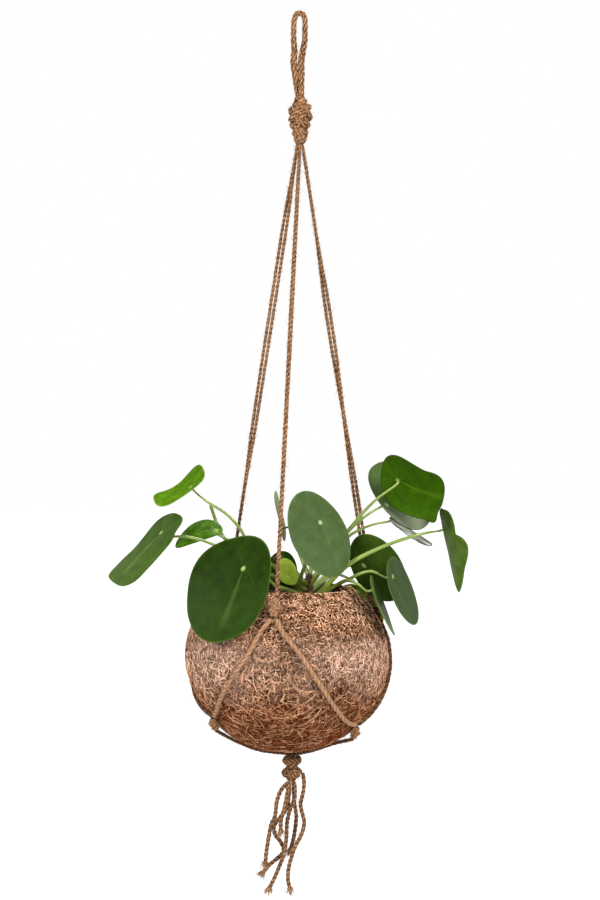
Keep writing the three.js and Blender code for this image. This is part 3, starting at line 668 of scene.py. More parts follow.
def makeTassel():
    radius = 2.15 * mm
    for i, route in enumerate(tasselCords):
        centres = keepLine(smoothRoute(np.array(route) * mm, twine["spacing"]), radius)
        shape = setPaleAndShade(ropeShape(centres, (0, 1, 0), radius, 2, twine["pitch"], 0.3, sides=16), -0.14)
        item = addTwine(f"tassel_strand_{i + 1}", [shape], f"tassel_{i + 1}")
        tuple(centres[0])


frays = {
    "seed": 9, "perEnd": 70, "shortest": 4 * mm, "longest": 9 * mm, "radius": 0.32 * mm, "spread": 0.24,
    "bend": 0.15, "shades": (0, 0.9),
}


# The twine's cut ends open into little brushes
def makeFrays():
    draw = np.random.default_rng(frays["seed"])
    starts, forward = [], []
    for centres, radius in cordLines[: len(tasselCords)]:
        down = unit(centres[-1] - centres[-4])
        spread = np.cross(down, draw.normal(size=(frays["perEnd"], 3))) * frays["spread"]
        starts.append(centres[-4] + spread * radius * 2)
        forward.append(unit(down + spread))
    starts, forward = np.concatenate(starts), np.concatenate(forward)
    lengths = draw.uniform(frays["shortest"], frays["longest"], len(starts))
    bend = draw.normal(0, frays["bend"], starts.shape)
    radius, shades = frays["radius"], frays["shades"]
    addFibres("tassel_frays", fuzzLook, draw, starts, forward, bend, lengths, radius, shades=shades)


makeTassel()
makeFrays()
print("cords made")


# Hanging loop: a thick twisted bundle bent over into a narrow eye. Its route, and its girths at certain
# heights, are in millimetres.
loop = {
    "radius": 2.85 * mm, "spacing": 0.7 * mm, "plies": 5, "pitch": 34 * mm, "depth": 0.32,
    "heights": [-80, -74, -50, -36, -20], "girths": [2.9, 3.1, 3.6, 3.4, 2.85],
    "route": [
        [1.3, 1.4, -86], [0.4, 2.9, -79.7], [-1, 2.4, -72], [-3.2, 0.4, -58], [-4.9, 0, -46], [-4.3, 0, -36],
        [-5.2, 0, -26], [-5.5, 0, -14], [-5.2, 0, -5], [-3.6, 0, 0.5], [0, 0, 2.85], [4, 0, 0.5],
        [5.6, 0, -5], [5.8, 0, -14], [5.6, 0, -26], [3.9, 0, -36], [2.6, 0, -46], [3.1, -0.4, -58],
        [3.4, -2.4, -72], [3.6, -2.9, -79.7], [3.0, -1.4, -86],
    ],
}


def makeLoop():
    centres = keepLine(smoothRoute(np.array(loop["route"]) * mm, loop["spacing"]), loop["radius"])
    girth = np.interp(centres[:, 2] / mm, loop["heights"], loop["girths"]) * mm
    reference = (0, 1, 0.02)
    shape = ropeShape(centres, reference, girth, loop["plies"], loop["pitch"], loop["depth"], sides=30)
    addTwine("loop_rope", [shape], "hanging_loop")


# A knot: a twisted core with bands of strands drawn over it. Each band lies on an ellipsoid round the
# knot's axis, in a tilted plane, and its ends dive into the core. Bands swell in and out so that they
# pass over and under each other. A band is a row: its middle and its half height as shares of the knot's
# length, its two tilts, its count of strands, where it begins, how far it sweeps and its girth. The gap
# between strands and their creep along the knot are in strand radii.
wrap = {"steps": 110, "fadeSteps": 16, "swing": 0.07, "gap": 1.85, "creep": 1.2}


def knotShapes(start, end, knot):
    start, end = np.array(start), np.array(end)
    endRadius, coreRadius, outerRadius = knot["girths"]
    strand, plies = knot["strand"], knot["plies"]
    length = np.linalg.norm(end - start)
    t = np.linspace(0, 1, 60)
    core = start + (end - start) * t[:, None]
    swell = np.sqrt(np.clip(1 - (2 * t - 1) ** 2, 0, 1))
    girthAt = endRadius + (coreRadius - endRadius) * swell
    down = (end - start) / length
    side = unit(np.cross(down, (0.0, 1, 0.2)))
    shapes = [ropeShape(core, side, girthAt, 5, 30 * mm, 0.25, sides=30, endDraw=0.8)]
    frameTurn = np.stack([side, np.cross(side, down), -down], -1)
    middle = (start + end) / 2
    steps = wrap["steps"]
    fromEnd = np.minimum(np.arange(steps), steps - 1 - np.arange(steps))
    dive = 0.55 + 0.45 * np.sin(np.clip(fromEnd / wrap["fadeSteps"], 0, 1) * math.pi / 2)
    for number, (share, half, tiltX, tiltY, count, begin, sweep, girth) in enumerate(knot["bands"]):
        tiltX, tiltY = np.radians((tiltX, tiltY))
        turned = np.array(Matrix.Rotation(tiltX, 3, "X") @ Matrix.Rotation(tiltY, 3, "Y"))
        angle = np.radians(begin + np.linspace(0, sweep, steps))
        swing = 1 + wrap["swing"] * np.sin(2 * angle + number * 2.2)
        wide = outerRadius * girth - strand
        radii = np.array([wide, wide, half * length - strand])
        circle = np.stack([np.cos(angle), np.sin(angle), 0 * angle], -1)
        axis = frameTurn @ turned @ np.array([0, 0, 1])
        for i in range(count):
            offset = (i - (count - 1) / 2) * wrap["gap"] * strand / wide
            creep = offset + (np.linspace(-0.5, 0.5, steps) * wrap["creep"] * strand / wide)
            path = circle * np.sqrt(np.clip(1 - creep**2, 0.2, 1))[:, None]
            path[:, 2] += creep
            path = (path @ turned.T) * radii * (dive * swing)[:, None]
            path[:, 2] += share * length
            path = keepLine(middle + path @ frameTurn.T, strand)
            shapes.append(ropeShape(path, axis, strand, plies, knot["pitch"], 0.3, sides=6 * plies))
    return [setPaleAndShade(shape, knot["paleAndShade"]) for shape in shapes]


# A knot's girths are the radii of its core's ends, of its core and of its bands
topKnot = {
    "x": 2.2 * mm, "lean": mm, "top": -80.5 * mm, "bottom": -128 * mm,
    "girths": (4.6 * mm, 8 * mm, 13 * mm), "strand": 3.1 * mm, "plies": 4, "pitch": 24 * mm, "paleAndShade": 0.0,
    "bands": [
        (0.14, 0.34, 12, -40, 2, 60, 380, 1),
        (0.13, 0.32, -15, 32, 2, 200, 380, 0.97),
        (-0.09, 0.34, 18, 28, 2, 120, 360, 0.86),
        (-0.29, 0.24, 8, -30, 2, 10, 370, 0.64),
    ],
}


def makeTopKnot():
    start = (topKnot["x"], 0, topKnot["top"])
    end = (topKnot["x"] + topKnot["lean"], 0, topKnot["bottom"])
    addTwine("top_knot_wraps", knotShapes(start, end, topKnot), "top_knot")


# Legs: two strands each, from the top knot to the tie knot, turning round each other
legs = [
    {
        "name": "front", "radius": 1.95, "azimuth": -7.5, "shift": 1.2, "start": (3.1, -128.7),
        "turns": [90, 80, 75, 80, 85, 90],
    },
    {
        "name": "right", "radius": 1.75, "azimuth": 104, "shift": 1, "start": (5.7, -128.7),
        "turns": [90, 90, 0, 80, 20, 10],
    },
    {
        "name": "left", "radius": 1.7, "azimuth": -134, "shift": 0, "start": (0.5, -128.7),
        "turns": [90, 10, 0, 20, 90, 90],
    },
]
# Where a leg begins its two strands are thinner and lie closer together; it ends a little above its tie
legPath = {"steps": 15, "close": 1.4 * mm, "parts": 5, "above": 1.7, "thin": 1.5 * mm, "thinShare": 0.05}
tie = {
    "radius": 88.3 * mm, "z": -582 * mm, "length": 18 * mm, "lean": math.radians(25),
    "girths": (3.4 * mm, 4.2 * mm, 6.4 * mm), "strand": 1.6 * mm, "plies": 2, "pitch": 9 * mm, "paleAndShade": 0.75,
    "bands": [(0.12, 0.34, 10, 34, 2, 40, 390, 1), (-0.14, 0.34, -14, -38, 2, 160, 370, 1)],
}


def tieAxis(azimuth, share):
    away = share * tie["length"]
    radius = tie["radius"] - away * math.sin(tie["lean"])
    return around(azimuth, radius, tie["z"] + away * math.cos(tie["lean"]))


def makeLegs():
    for leg in legs:
        start = np.array([leg["start"][0], 0, leg["start"][1]]) * mm
        end = tieAxis(leg["azimuth"], 0.5) + np.array([leg["shift"], 0, legPath["above"]]) * mm
        across = np.array([1.0, 0, 0])
        deep = unit(np.cross(unit(end - start), across))
        share = np.arange(legPath["steps"] + 1) / legPath["steps"]
        place = share * (len(leg["turns"]) - 1)
        i = np.minimum(len(leg["turns"]) - 2, np.floor(place).astype(int))
        ease = (place - i) ** 2 * (3 - 2 * (place - i))
        turns = np.array(leg["turns"], float)
        angle = np.radians(turns[i] + (turns[i + 1] - turns[i]) * ease)
        parted = np.minimum(1, share * legPath["parts"])
        spacing = legPath["close"] + (twine["pairSpacing"] / 2 - legPath["close"]) * parted
        shapes = []
        for side in (1, -1):
            points = start + (end - start) * share[:, None]
            points = points + side * (spacing * np.cos(angle))[:, None] * across
            points = points + side * (spacing * np.sin(angle))[:, None] * deep
            centres = keepLine(smoothRoute(points, twine["spacing"]), twine["radius"])
            t = np.linspace(0, 1, len(centres))
            girth = np.interp(t, [0, legPath["thinShare"]], [legPath["thin"], leg["radius"] * mm])
            shapes.append(ropeShape(centres, (0, 1, 0.3), girth, 2, twine["pitch"], 0.32))
        name = f"leg_{leg['name']}"
        addTwine(name, shapes, f"{name}_a", f"{name}_b")


def makeTieKnots():
    for leg in legs:
        start, end = tieAxis(leg["azimuth"], 0.5), tieAxis(leg["azimuth"], -0.5)
        addTwine(f"tie_knot_wraps_{leg['name']}", knotShapes(start, end, tie), f"tie_knot_{leg['name']}")


lowerKnots = {
    "right": {"azimuth": 59.5, "z": -707 * mm, "standOff": 8.5 * mm, "swing": 9},
    "left": {"azimuth": -55.5, "z": -700 * mm, "standOff": 8 * mm, "swing": -9},
    "back": {"azimuth": 168, "z": -706 * mm, "standOff": 9.7 * mm, "swing": 0},
}
lowerKnot = {
    "length": 11 * mm, "lean": 2 * mm, "girths": (3.3 * mm, 3.9 * mm, 5.5 * mm), "strand": 1.4 * mm,
    "plies": 2, "pitch": 9 * mm, "paleAndShade": 0.4,
    "bands": [(0.08, 0.4, 12, 30, 2, 20, 380, 1), (-0.1, 0.4, -18, -44, 1, 140, 360, 1)],
}


# The place beside a lower knot's middle: further out by the first distance, higher by the second
def besideKnot(knot, further, higher):
    radius = float(shellRadius(knot["azimuth"], np.array(knot["z"]))) + knot["standOff"]
    return around(knot["azimuth"], radius + further, knot["z"] + higher)


def makeLowerKnots():
    for name, knot in lowerKnots.items():
        start = besideKnot(knot, lowerKnot["lean"], lowerKnot["length"] / 2)
        end = besideKnot(knot, -lowerKnot["lean"], -lowerKnot["length"] / 2)
        addTwine(f"lower_knot_wraps_{name}", knotShapes(start, end, lowerKnot), f"lower_knot_{name}")


# Net cords: each lies on the pot from a tie knot to a lower knot. A row has the azimuth of the tie knot,
# the side where the cord leaves it, the lower knot, and the way there as azimuths and heights in mm. A
# cord starts beside and below its tie knot, and ends beside and above its lower knot.
net = {
    "radius": 2.2 * mm, "lay": 0.5 * mm, "aside": 2.3 * mm, "below": 1.7 * mm, "above": 2.2 * mm,
    "plies": 3, "pitch": 19 * mm, "depth": 0.22, "frontPale": 1.0, "backShade": -0.6,
}
netCords = {
    "front_right": (-7.5, 1, "right", [[-2, -605], [8, -625], [17, -648], [28, -672], [42, -690]]),
    "front_left": (-7.5, -1, "left", [[-14.5, -605], [-20, -625], [-29, -648], [-37, -666], [-46, -682]]),
    "right_front": (104, -1, "right", [[99, -606], [94, -625], [88, -648], [80, -670], [71, -688]]),
    "right_back": (104, 1, "back", [[111, -606], [119, -628], [130, -652], [142, -674], [155, -690]]),
    "left_front": (-134, 1, "left", [[-128, -606], [-121, -634], [-111, -656], [-95, -674], [-75, -686]]),
    "left_back": (-134, -1, "back", [[-140, -606], [-147, -628], [-156, -652], [-166, -674], [-178, -690]]),
}


def makeNet():
    for name, (azimuth, side, lower, route) in netCords.items():
        start = tieAxis(azimuth, -0.5) + around(azimuth + 90, side * net["aside"], -net["below"])
        knot = lowerKnots[lower]
        head = besideKnot(knot, lowerKnot["lean"], lowerKnot["length"] / 2 + net["above"])
        head = head + around(knot["azimuth"] - side * 90, net["aside"], 0)
        laid = onPot(route, net["radius"] + net["lay"])
        centres = keepLine(smoothRoute(np.vstack([start, laid, head]), twine["spacing"]), net["radius"])
        outward = unit(centres - potCentre)
        shape = ropeShape(centres, outward, net["radius"], net["plies"], net["pitch"], net["depth"])
        # Cords on the pot's sides and back are darkened as painted shade; the front ones are paler.
        paleAndShade = net["frontPale"] if name.startswith("front") else net["backShade"]
        addTwine(f"net_cord_{name}", [setPaleAndShade(shape, paleAndShade)], f"net_{name}")


bottomKnot = {
    "x": 7.6 * mm, "topZ": -737 * mm, "bottomZ": -764.5 * mm, "girths": (5 * mm, 6.2 * mm, 9.8 * mm),
    # Its negative value darkens the knot a little, as painted shade under the pot.
    "strand": 1.9 * mm, "plies": 2, "pitch": 9 * mm, "paleAndShade": -0.25,
    "bands": [
        (0.24, 0.22, 6, 8, 3, 90, 400, 1),
        (-0.2, 0.26, 12, -34, 3, 30, 380, 1.06),
        (-0.22, 0.24, -16, 42, 2, 200, 370, 1.08),
    ],
}
# Cords under the pot: route is degrees away from the lower knot and heights in mm, and the cords meet the
# bottom knot round its top, spread by an angle in degrees
underCord = {
    "inward": 2.4 * mm, "below": 1.3 * mm, "aside": 2 * mm, "route": [(2.5, -720), (7, -729)],
    # The negative value darkens these cords as painted shade beneath the pot.
    "spread": 22, "meets": 6.4 * mm, "above": 0.2 * mm, "paleAndShade": -0.6,
}


def makeUnderCords():
    for name, knot in lowerKnots.items():
        shapes = []
        azimuth = knot["azimuth"]
        swung = azimuth + knot["swing"]
        for side in (1, -1):
            below = -lowerKnot["length"] / 2 - underCord["below"]
            start = besideKnot(knot, -underCord["inward"], below)
            start = start + around(azimuth + 90, side * underCord["aside"], 0)
            route = [[swung + side * away, z] for away, z in underCord["route"]]
            laid = onPot(route, twine["radius"] + twine["lay"])
            end = np.array([bottomKnot["x"], 0, bottomKnot["topZ"] + underCord["above"]])
            end = end + around(azimuth + side * underCord["spread"], underCord["meets"], 0)
            centres = keepLine(smoothRoute(np.vstack([start, laid, end]), twine["spacing"]), twine["radius"])
            shape = ropeShape(centres, (0, 0, 1), twine["radius"], 2, twine["pitch"], 0.32)
            shapes.append(setPaleAndShade(shape, underCord["paleAndShade"]))
        addTwine(f"under_cords_{name}", shapes, f"under_{name}_a", f"under_{name}_b")


def makeBottomKnot():
    start = (bottomKnot["x"], 0, bottomKnot["topZ"])
    end = (bottomKnot["x"], 0, bottomKnot["bottomZ"])
    addTwine("bottom_knot_wraps", knotShapes(start, end, bottomKnot), "bottom_knot")


fuzz = {"perMetre": 1100, "shortest": 2.0 * mm, "longest": 6.5 * mm, "radius": 0.13 * mm, "seed": 5}


# Stray fibres stand off the twine, mostly along it
def makeFuzz():
    draw = np.random.default_rng(fuzz["seed"])
    starts, forward, bend = [], [], []
    for centres, radius in cordLines:
        count = int(lengthsAlong(centres)[-1] * fuzz["perMetre"])
        pick = draw.integers(1, len(centres) - 1, count)
        tangent = unit(centres[pick + 1] - centres[pick - 1])
        out = unit(np.cross(tangent, draw.normal(size=(count, 3))))
        sign = draw.choice([-1.0, 1.0], (count, 1))
        starts.append(centres[pick] + out * radius * 0.8)
        forward.append(unit(tangent * sign * draw.uniform(0.6, 1.6, (count, 1)) + out * 0.55))
        bend.append(0.5 * unit(draw.normal(size=(count, 3))))
    starts, forward, bend = (np.concatenate(q) for q in (starts, forward, bend))
    lengths = draw.uniform(fuzz["shortest"], fuzz["longest"], len(starts))
    addFibres("twine_fuzz", fuzzLook, draw, starts, forward, bend, lengths, fuzz["radius"])


makeLoop()
makeTopKnot()
makeLegs()
makeTieKnots()
makeNet()
makeLowerKnots()
makeUnderCords()
makeBottomKnot()
makeFuzz()
print("hanger made")


# A turned piece: rows of points carried round the axis
def turnedShape(profile, sides, move=lambda grid: grid):
    profile, angle = np.asarray(profile, float), roundAngles(sides)
    radius, z = profile[:, :1], profile[:, 1:]
    grid = np.stack(np.broadcast_arrays(radius * np.cos(angle), radius * np.sin(angle), z), -1)
    return {"grid": move(grid)[None]}


# The rim rises and dips by about a millimetre round the mouth, with finer unevenness on top of it
def pressed(grid):
    x, y, z = grid[..., 0], grid[..., 1], grid[..., 2]
    turn = np.arctan2(x, -y)
    share = np.clip((z - (pot["rimZ"] - 14 * mm)) / (12 * mm), 0, 1)
    share = share**2 * (3 - 2 * share)
    rise = 0.7 * np.sin(2 * turn + 2.4) + 0.5 * np.sin(5 * turn + 0.7) + 0.45 * relief(grid, 9 * mm, 3)
    lumps = 0.35 * relief(grid, 26 * mm, 1) + 0.28 * relief(grid, 7 * mm, 2) + 0.16 * relief(grid, 3 * mm, 4)
    out = unit(grid - potCentre)
    near = np.clip(np.hypot(x, y) / (20 * mm), 0, 1)[..., None]
    moved = grid + out * lumps[..., None] * mm * near
    moved[..., 2] += share * rise * mm
    radius = np.hypot(x, y)
    outer = radius > np.maximum(potRadius(z) - pot["wall"] / 2, mm)
    inward = np.where(outer, flatness(np.degrees(turn), z), 0) / np.maximum(radius, mm)
    moved[..., :2] *= 1 - inward[..., None]
    return moved


def makeCoirPot():
    rimAngle = math.asin((pot["rimZ"] - 3 * mm - pot["centreZ"]) / pot["upperHalf"])
    angle = np.linspace(-math.pi / 2 + 0.002, rimAngle, 140)
    half = np.where(angle > 0, pot["upperHalf"], pot["lowerHalf"])
    outside = np.stack([pot["radius"] * np.cos(angle), pot["centreZ"] + half * np.sin(angle)], -1)
    rim = float(potRadius(np.array(pot["rimZ"])))
    lip = np.array([rim, pot["rimZ"]]) - np.array([[1.2, 0.9], [2.8, 0], [5.4, 0]]) * mm
    levels = np.array([pot["rimZ"] / mm - 3, -590, -610, -636, -660, -685, pot["floorZ"] / mm]) * mm
    inside = np.stack([potRadius(levels) - pot["wall"], levels], -1)
    profile = np.vstack([outside, lip, inside, [[0.2 * mm, pot["floorZ"]]]])
    even = resampled(profile, int(lengthsAlong(profile)[-1] / (1.7 * mm)) + 1)
    shape = turnedShape(even, 340, pressed)
    addPiece("coir_shell", [shape], coir, "coir", ["coir_pot"])


# Points on the shell, the way out of it there, and a drawn way along it
def onShell(draw, azimuth, z):
    starts = around(azimuth, shellRadius(azimuth, z), z)
    wide = np.full(z.shape, pot["radius"])
    out = unit((starts - potCentre) / np.stack([wide, wide, halfAt(z)], -1) ** 2)
    return starts, out, unit(np.cross(out, draw.normal(size=starts.shape)))


hair = {
    "pieces": 5, "seed": 20, "count": 4200, "shortest": 4 * mm, "longest": 12 * mm, "radius": 0.28 * mm,
    "looseShare": 0.012, "fullLengthBelow": -0.62,
}


# Coir fibres lie pressed on the shell in every direction: start on the surface, run along it, bend with it
def makeCoirHair():
    for n in range(hair["pieces"]):
        draw = np.random.default_rng(hair["seed"] + n)
        count = hair["count"]
        height = draw.uniform(-1, 1, count)
        above = height * (pot["rimZ"] - pot["centreZ"] - mm)
        z = pot["centreZ"] + np.where(height > 0, above, height * pot["lowerHalf"] * 0.99)
        starts, out, forward = onShell(draw, draw.uniform(0, 360, count), z)
        low = np.clip((hair["fullLengthBelow"] - z) / 0.05, 0, 1)
        lengths = draw.uniform(hair["shortest"], hair["longest"], count) * (0.5 + 0.5 * low)
        loose = (draw.uniform(0, 1, count) < hair["looseShare"])[:, None]
        sag = -0.5 * lengths[:, None] / pot["radius"]
        sideways = np.cross(out, forward) * draw.normal(0, 0.7, (count, 1))
        bend = out * np.where(loose, 0.04, sag * 0.95) + sideways
        forward = forward + out * np.where(loose, draw.uniform(0.05, 0.3, (count, 1)), 0.015)
        starts = starts + out * draw.uniform(0.1, 0.9, (count, 1)) * mm
        thick = hair["radius"] * draw.uniform(0.5, 1.1, count) * (0.8 + 0.2 * low)
        addFibres(f"coir_fibres_{n + 1}", hairLook, draw, starts, forward, bend, lengths, thick, rows=6)


arcs = {
    "seed": 61, "count": 420, "heights": (-0.727, -0.655), "shortest": 9 * mm, "longest": 28 * mm,
    "radius": 0.26 * mm, "shades": (0.35, 0.9),
}


# Longer fibres lie in wide arcs over the lower half
def makeArcs():
    draw = np.random.default_rng(arcs["seed"])
    count = arcs["count"]
    z = draw.uniform(*arcs["heights"], count)
    starts, out, forward = onShell(draw, draw.uniform(0, 360, count), z)
    lengths = draw.uniform(arcs["shortest"], arcs["longest"], count)
    sideways = np.cross(out, forward) * draw.normal(0, 0.45, (count, 1))
    bend = -0.46 * out * lengths[:, None] / pot["radius"]
    bend = bend * (1 + draw.uniform(0, 0.1, (count, 1))) + sideways
    starts = starts + out * (draw.uniform(0.6, 1.4, (count, 1)) * mm)
    radius, shades = arcs["radius"], arcs["shades"]
    addFibres("coir_long_fibres", hairLook, draw, starts, forward, bend, lengths, radius, 10, shades)


rimHair = {"seed": 41, "count": 900, "shortest": 2 * mm, "longest": 6 * mm, "radius": 0.2 * mm}


def upright(heights):
    return heights[:, None] * np.array([0, 0, 1])


def makeRimHair():
    draw = np.random.default_rng(rimHair["seed"])
    count = rimHair["count"]
    azimuth = draw.uniform(0, 360, count)
    rim = float(potRadius(np.array(pot["rimZ"])))
    starts = around(azimuth, rim - draw.uniform(0.5, 6, count) * mm, pot["rimZ"] - 0.6 * mm)
    along = around(azimuth + 90, 1.0, 0 * azimuth) * draw.choice([-1.0, 1.0], (count, 1))
    forward = along + upright(draw.uniform(-0.1, 0.16, count))
    forward = forward + around(azimuth, 1.0, 0 * azimuth) * draw.normal(0, 0.3, (count, 1))
    bend = upright(-draw.uniform(0.1, 0.4, count))
    lengths = draw.uniform(rimHair["shortest"], rimHair["longest"], count)
    addFibres("rim_fibres", hairLook, draw, starts, forward, bend, lengths, rimHair["radius"], rows=5)


liner = {
    "bottomZ": -701.6 * mm, "topZ": -580 * mm, "bottomRadius": 40 * mm, "topRadius": 52 * mm,
    "wall": 1.5 * mm,
}


def linerRadius(z):
    share = (z - liner["bottomZ"]) / (liner["topZ"] - liner["bottomZ"])
    return liner["bottomRadius"] + share * (liner["topRadius"] - liner["bottomRadius"])


def makeLiner():
    lip, floor, top = liner["topZ"] - 3 * mm, liner["bottomZ"] + liner["wall"], liner["topRadius"]
    profile = [
        [0.2 * mm, liner["bottomZ"]], [liner["bottomRadius"], liner["bottomZ"]], [linerRadius(lip), lip],
        [top + 1.4 * mm, lip], [top + 1.6 * mm, lip + 0.3 * mm], [top + 1.6 * mm, liner["topZ"] - 0.4 * mm],
        [top + 1.2 * mm, liner["topZ"]], [top - 1.1 * mm, liner["topZ"]],
        [top - 1.5 * mm, liner["topZ"] - 0.5 * mm],
        [liner["bottomRadius"] - liner["wall"], floor], [0.2 * mm, floor],
    ]
    item = addPiece("nursery_pot", [turnedShape(profile, 120)], blackPlastic, "pot_plastic", ["inner_pot"])
    item.data.polygons.foreach_set("use_smooth", np.zeros(len(item.data.polygons), bool))


soil = {"topZ": -590 * mm, "dome": 4 * mm, "seed": 31, "crumbs": 900}


def makeSoil():
    floor = liner["bottomZ"] + liner["wall"] + 0.4 * mm
    inset = liner["wall"] + 0.4 * mm
    edge = soil["topZ"] - soil["dome"]
    wide = linerRadius(edge) - inset
    share = np.linspace(1, 0.01, 60)
    dome = np.stack([wide * share, edge + soil["dome"] * 1.2 * (1 - share**2)], -1)
    profile = np.vstack([[[0.2 * mm, floor], [linerRadius(floor) - inset, floor]], dome])

    def crumbly(grid):
        moved = grid.copy()
        top = np.clip((grid[..., 2] - edge + 0.2 * mm) / mm, 0, 1)
        moved[..., 2] += top * (relief(grid, 9 * mm, 11) * 0.8 + relief(grid, 3.5 * mm, 12) * 0.5) * mm
        return moved

    draw = np.random.default_rng(soil["seed"])
    count = soil["crumbs"]
    radius = wide * np.sqrt(draw.uniform(0, 0.94, count))
    z = edge + soil["dome"] * 1.2 * (1 - (radius / wide) ** 2)
    centre = around(draw.uniform(0, 360, count), radius, z + 0.3 * mm)
    size = draw.uniform(0.5, 1.9, count) * mm
    axis = unit(draw.normal(size=(count, 3)))
    pole = unit(np.cross(axis, [0.3, 0.5, 0.8]))
    level, girth = np.array([-1, -0.5, 0.4, 1]), np.array([0.2, 0.9, 1, 0.25])
    ring = roundRing(6, pole[:, None], np.cross(axis, pole)[:, None])
    lumps = level[:, None, None] * axis[:, None, None, :] * 0.8 + girth[:, None, None] * ring
    grid = centre[:, None, None, :] + size[:, None, None, None] * lumps
    shapes = [turnedShape(profile, 160, crumbly), {"grid": grid}]
    addPiece("soil_and_crumbs", shapes, soilBrown, "soil", ["potting_soil"])


makeCoirPot()
makeCoirHair()
makeArcs()
makeRimHair()
makeLiner()
makeSoil()
print("pot made")

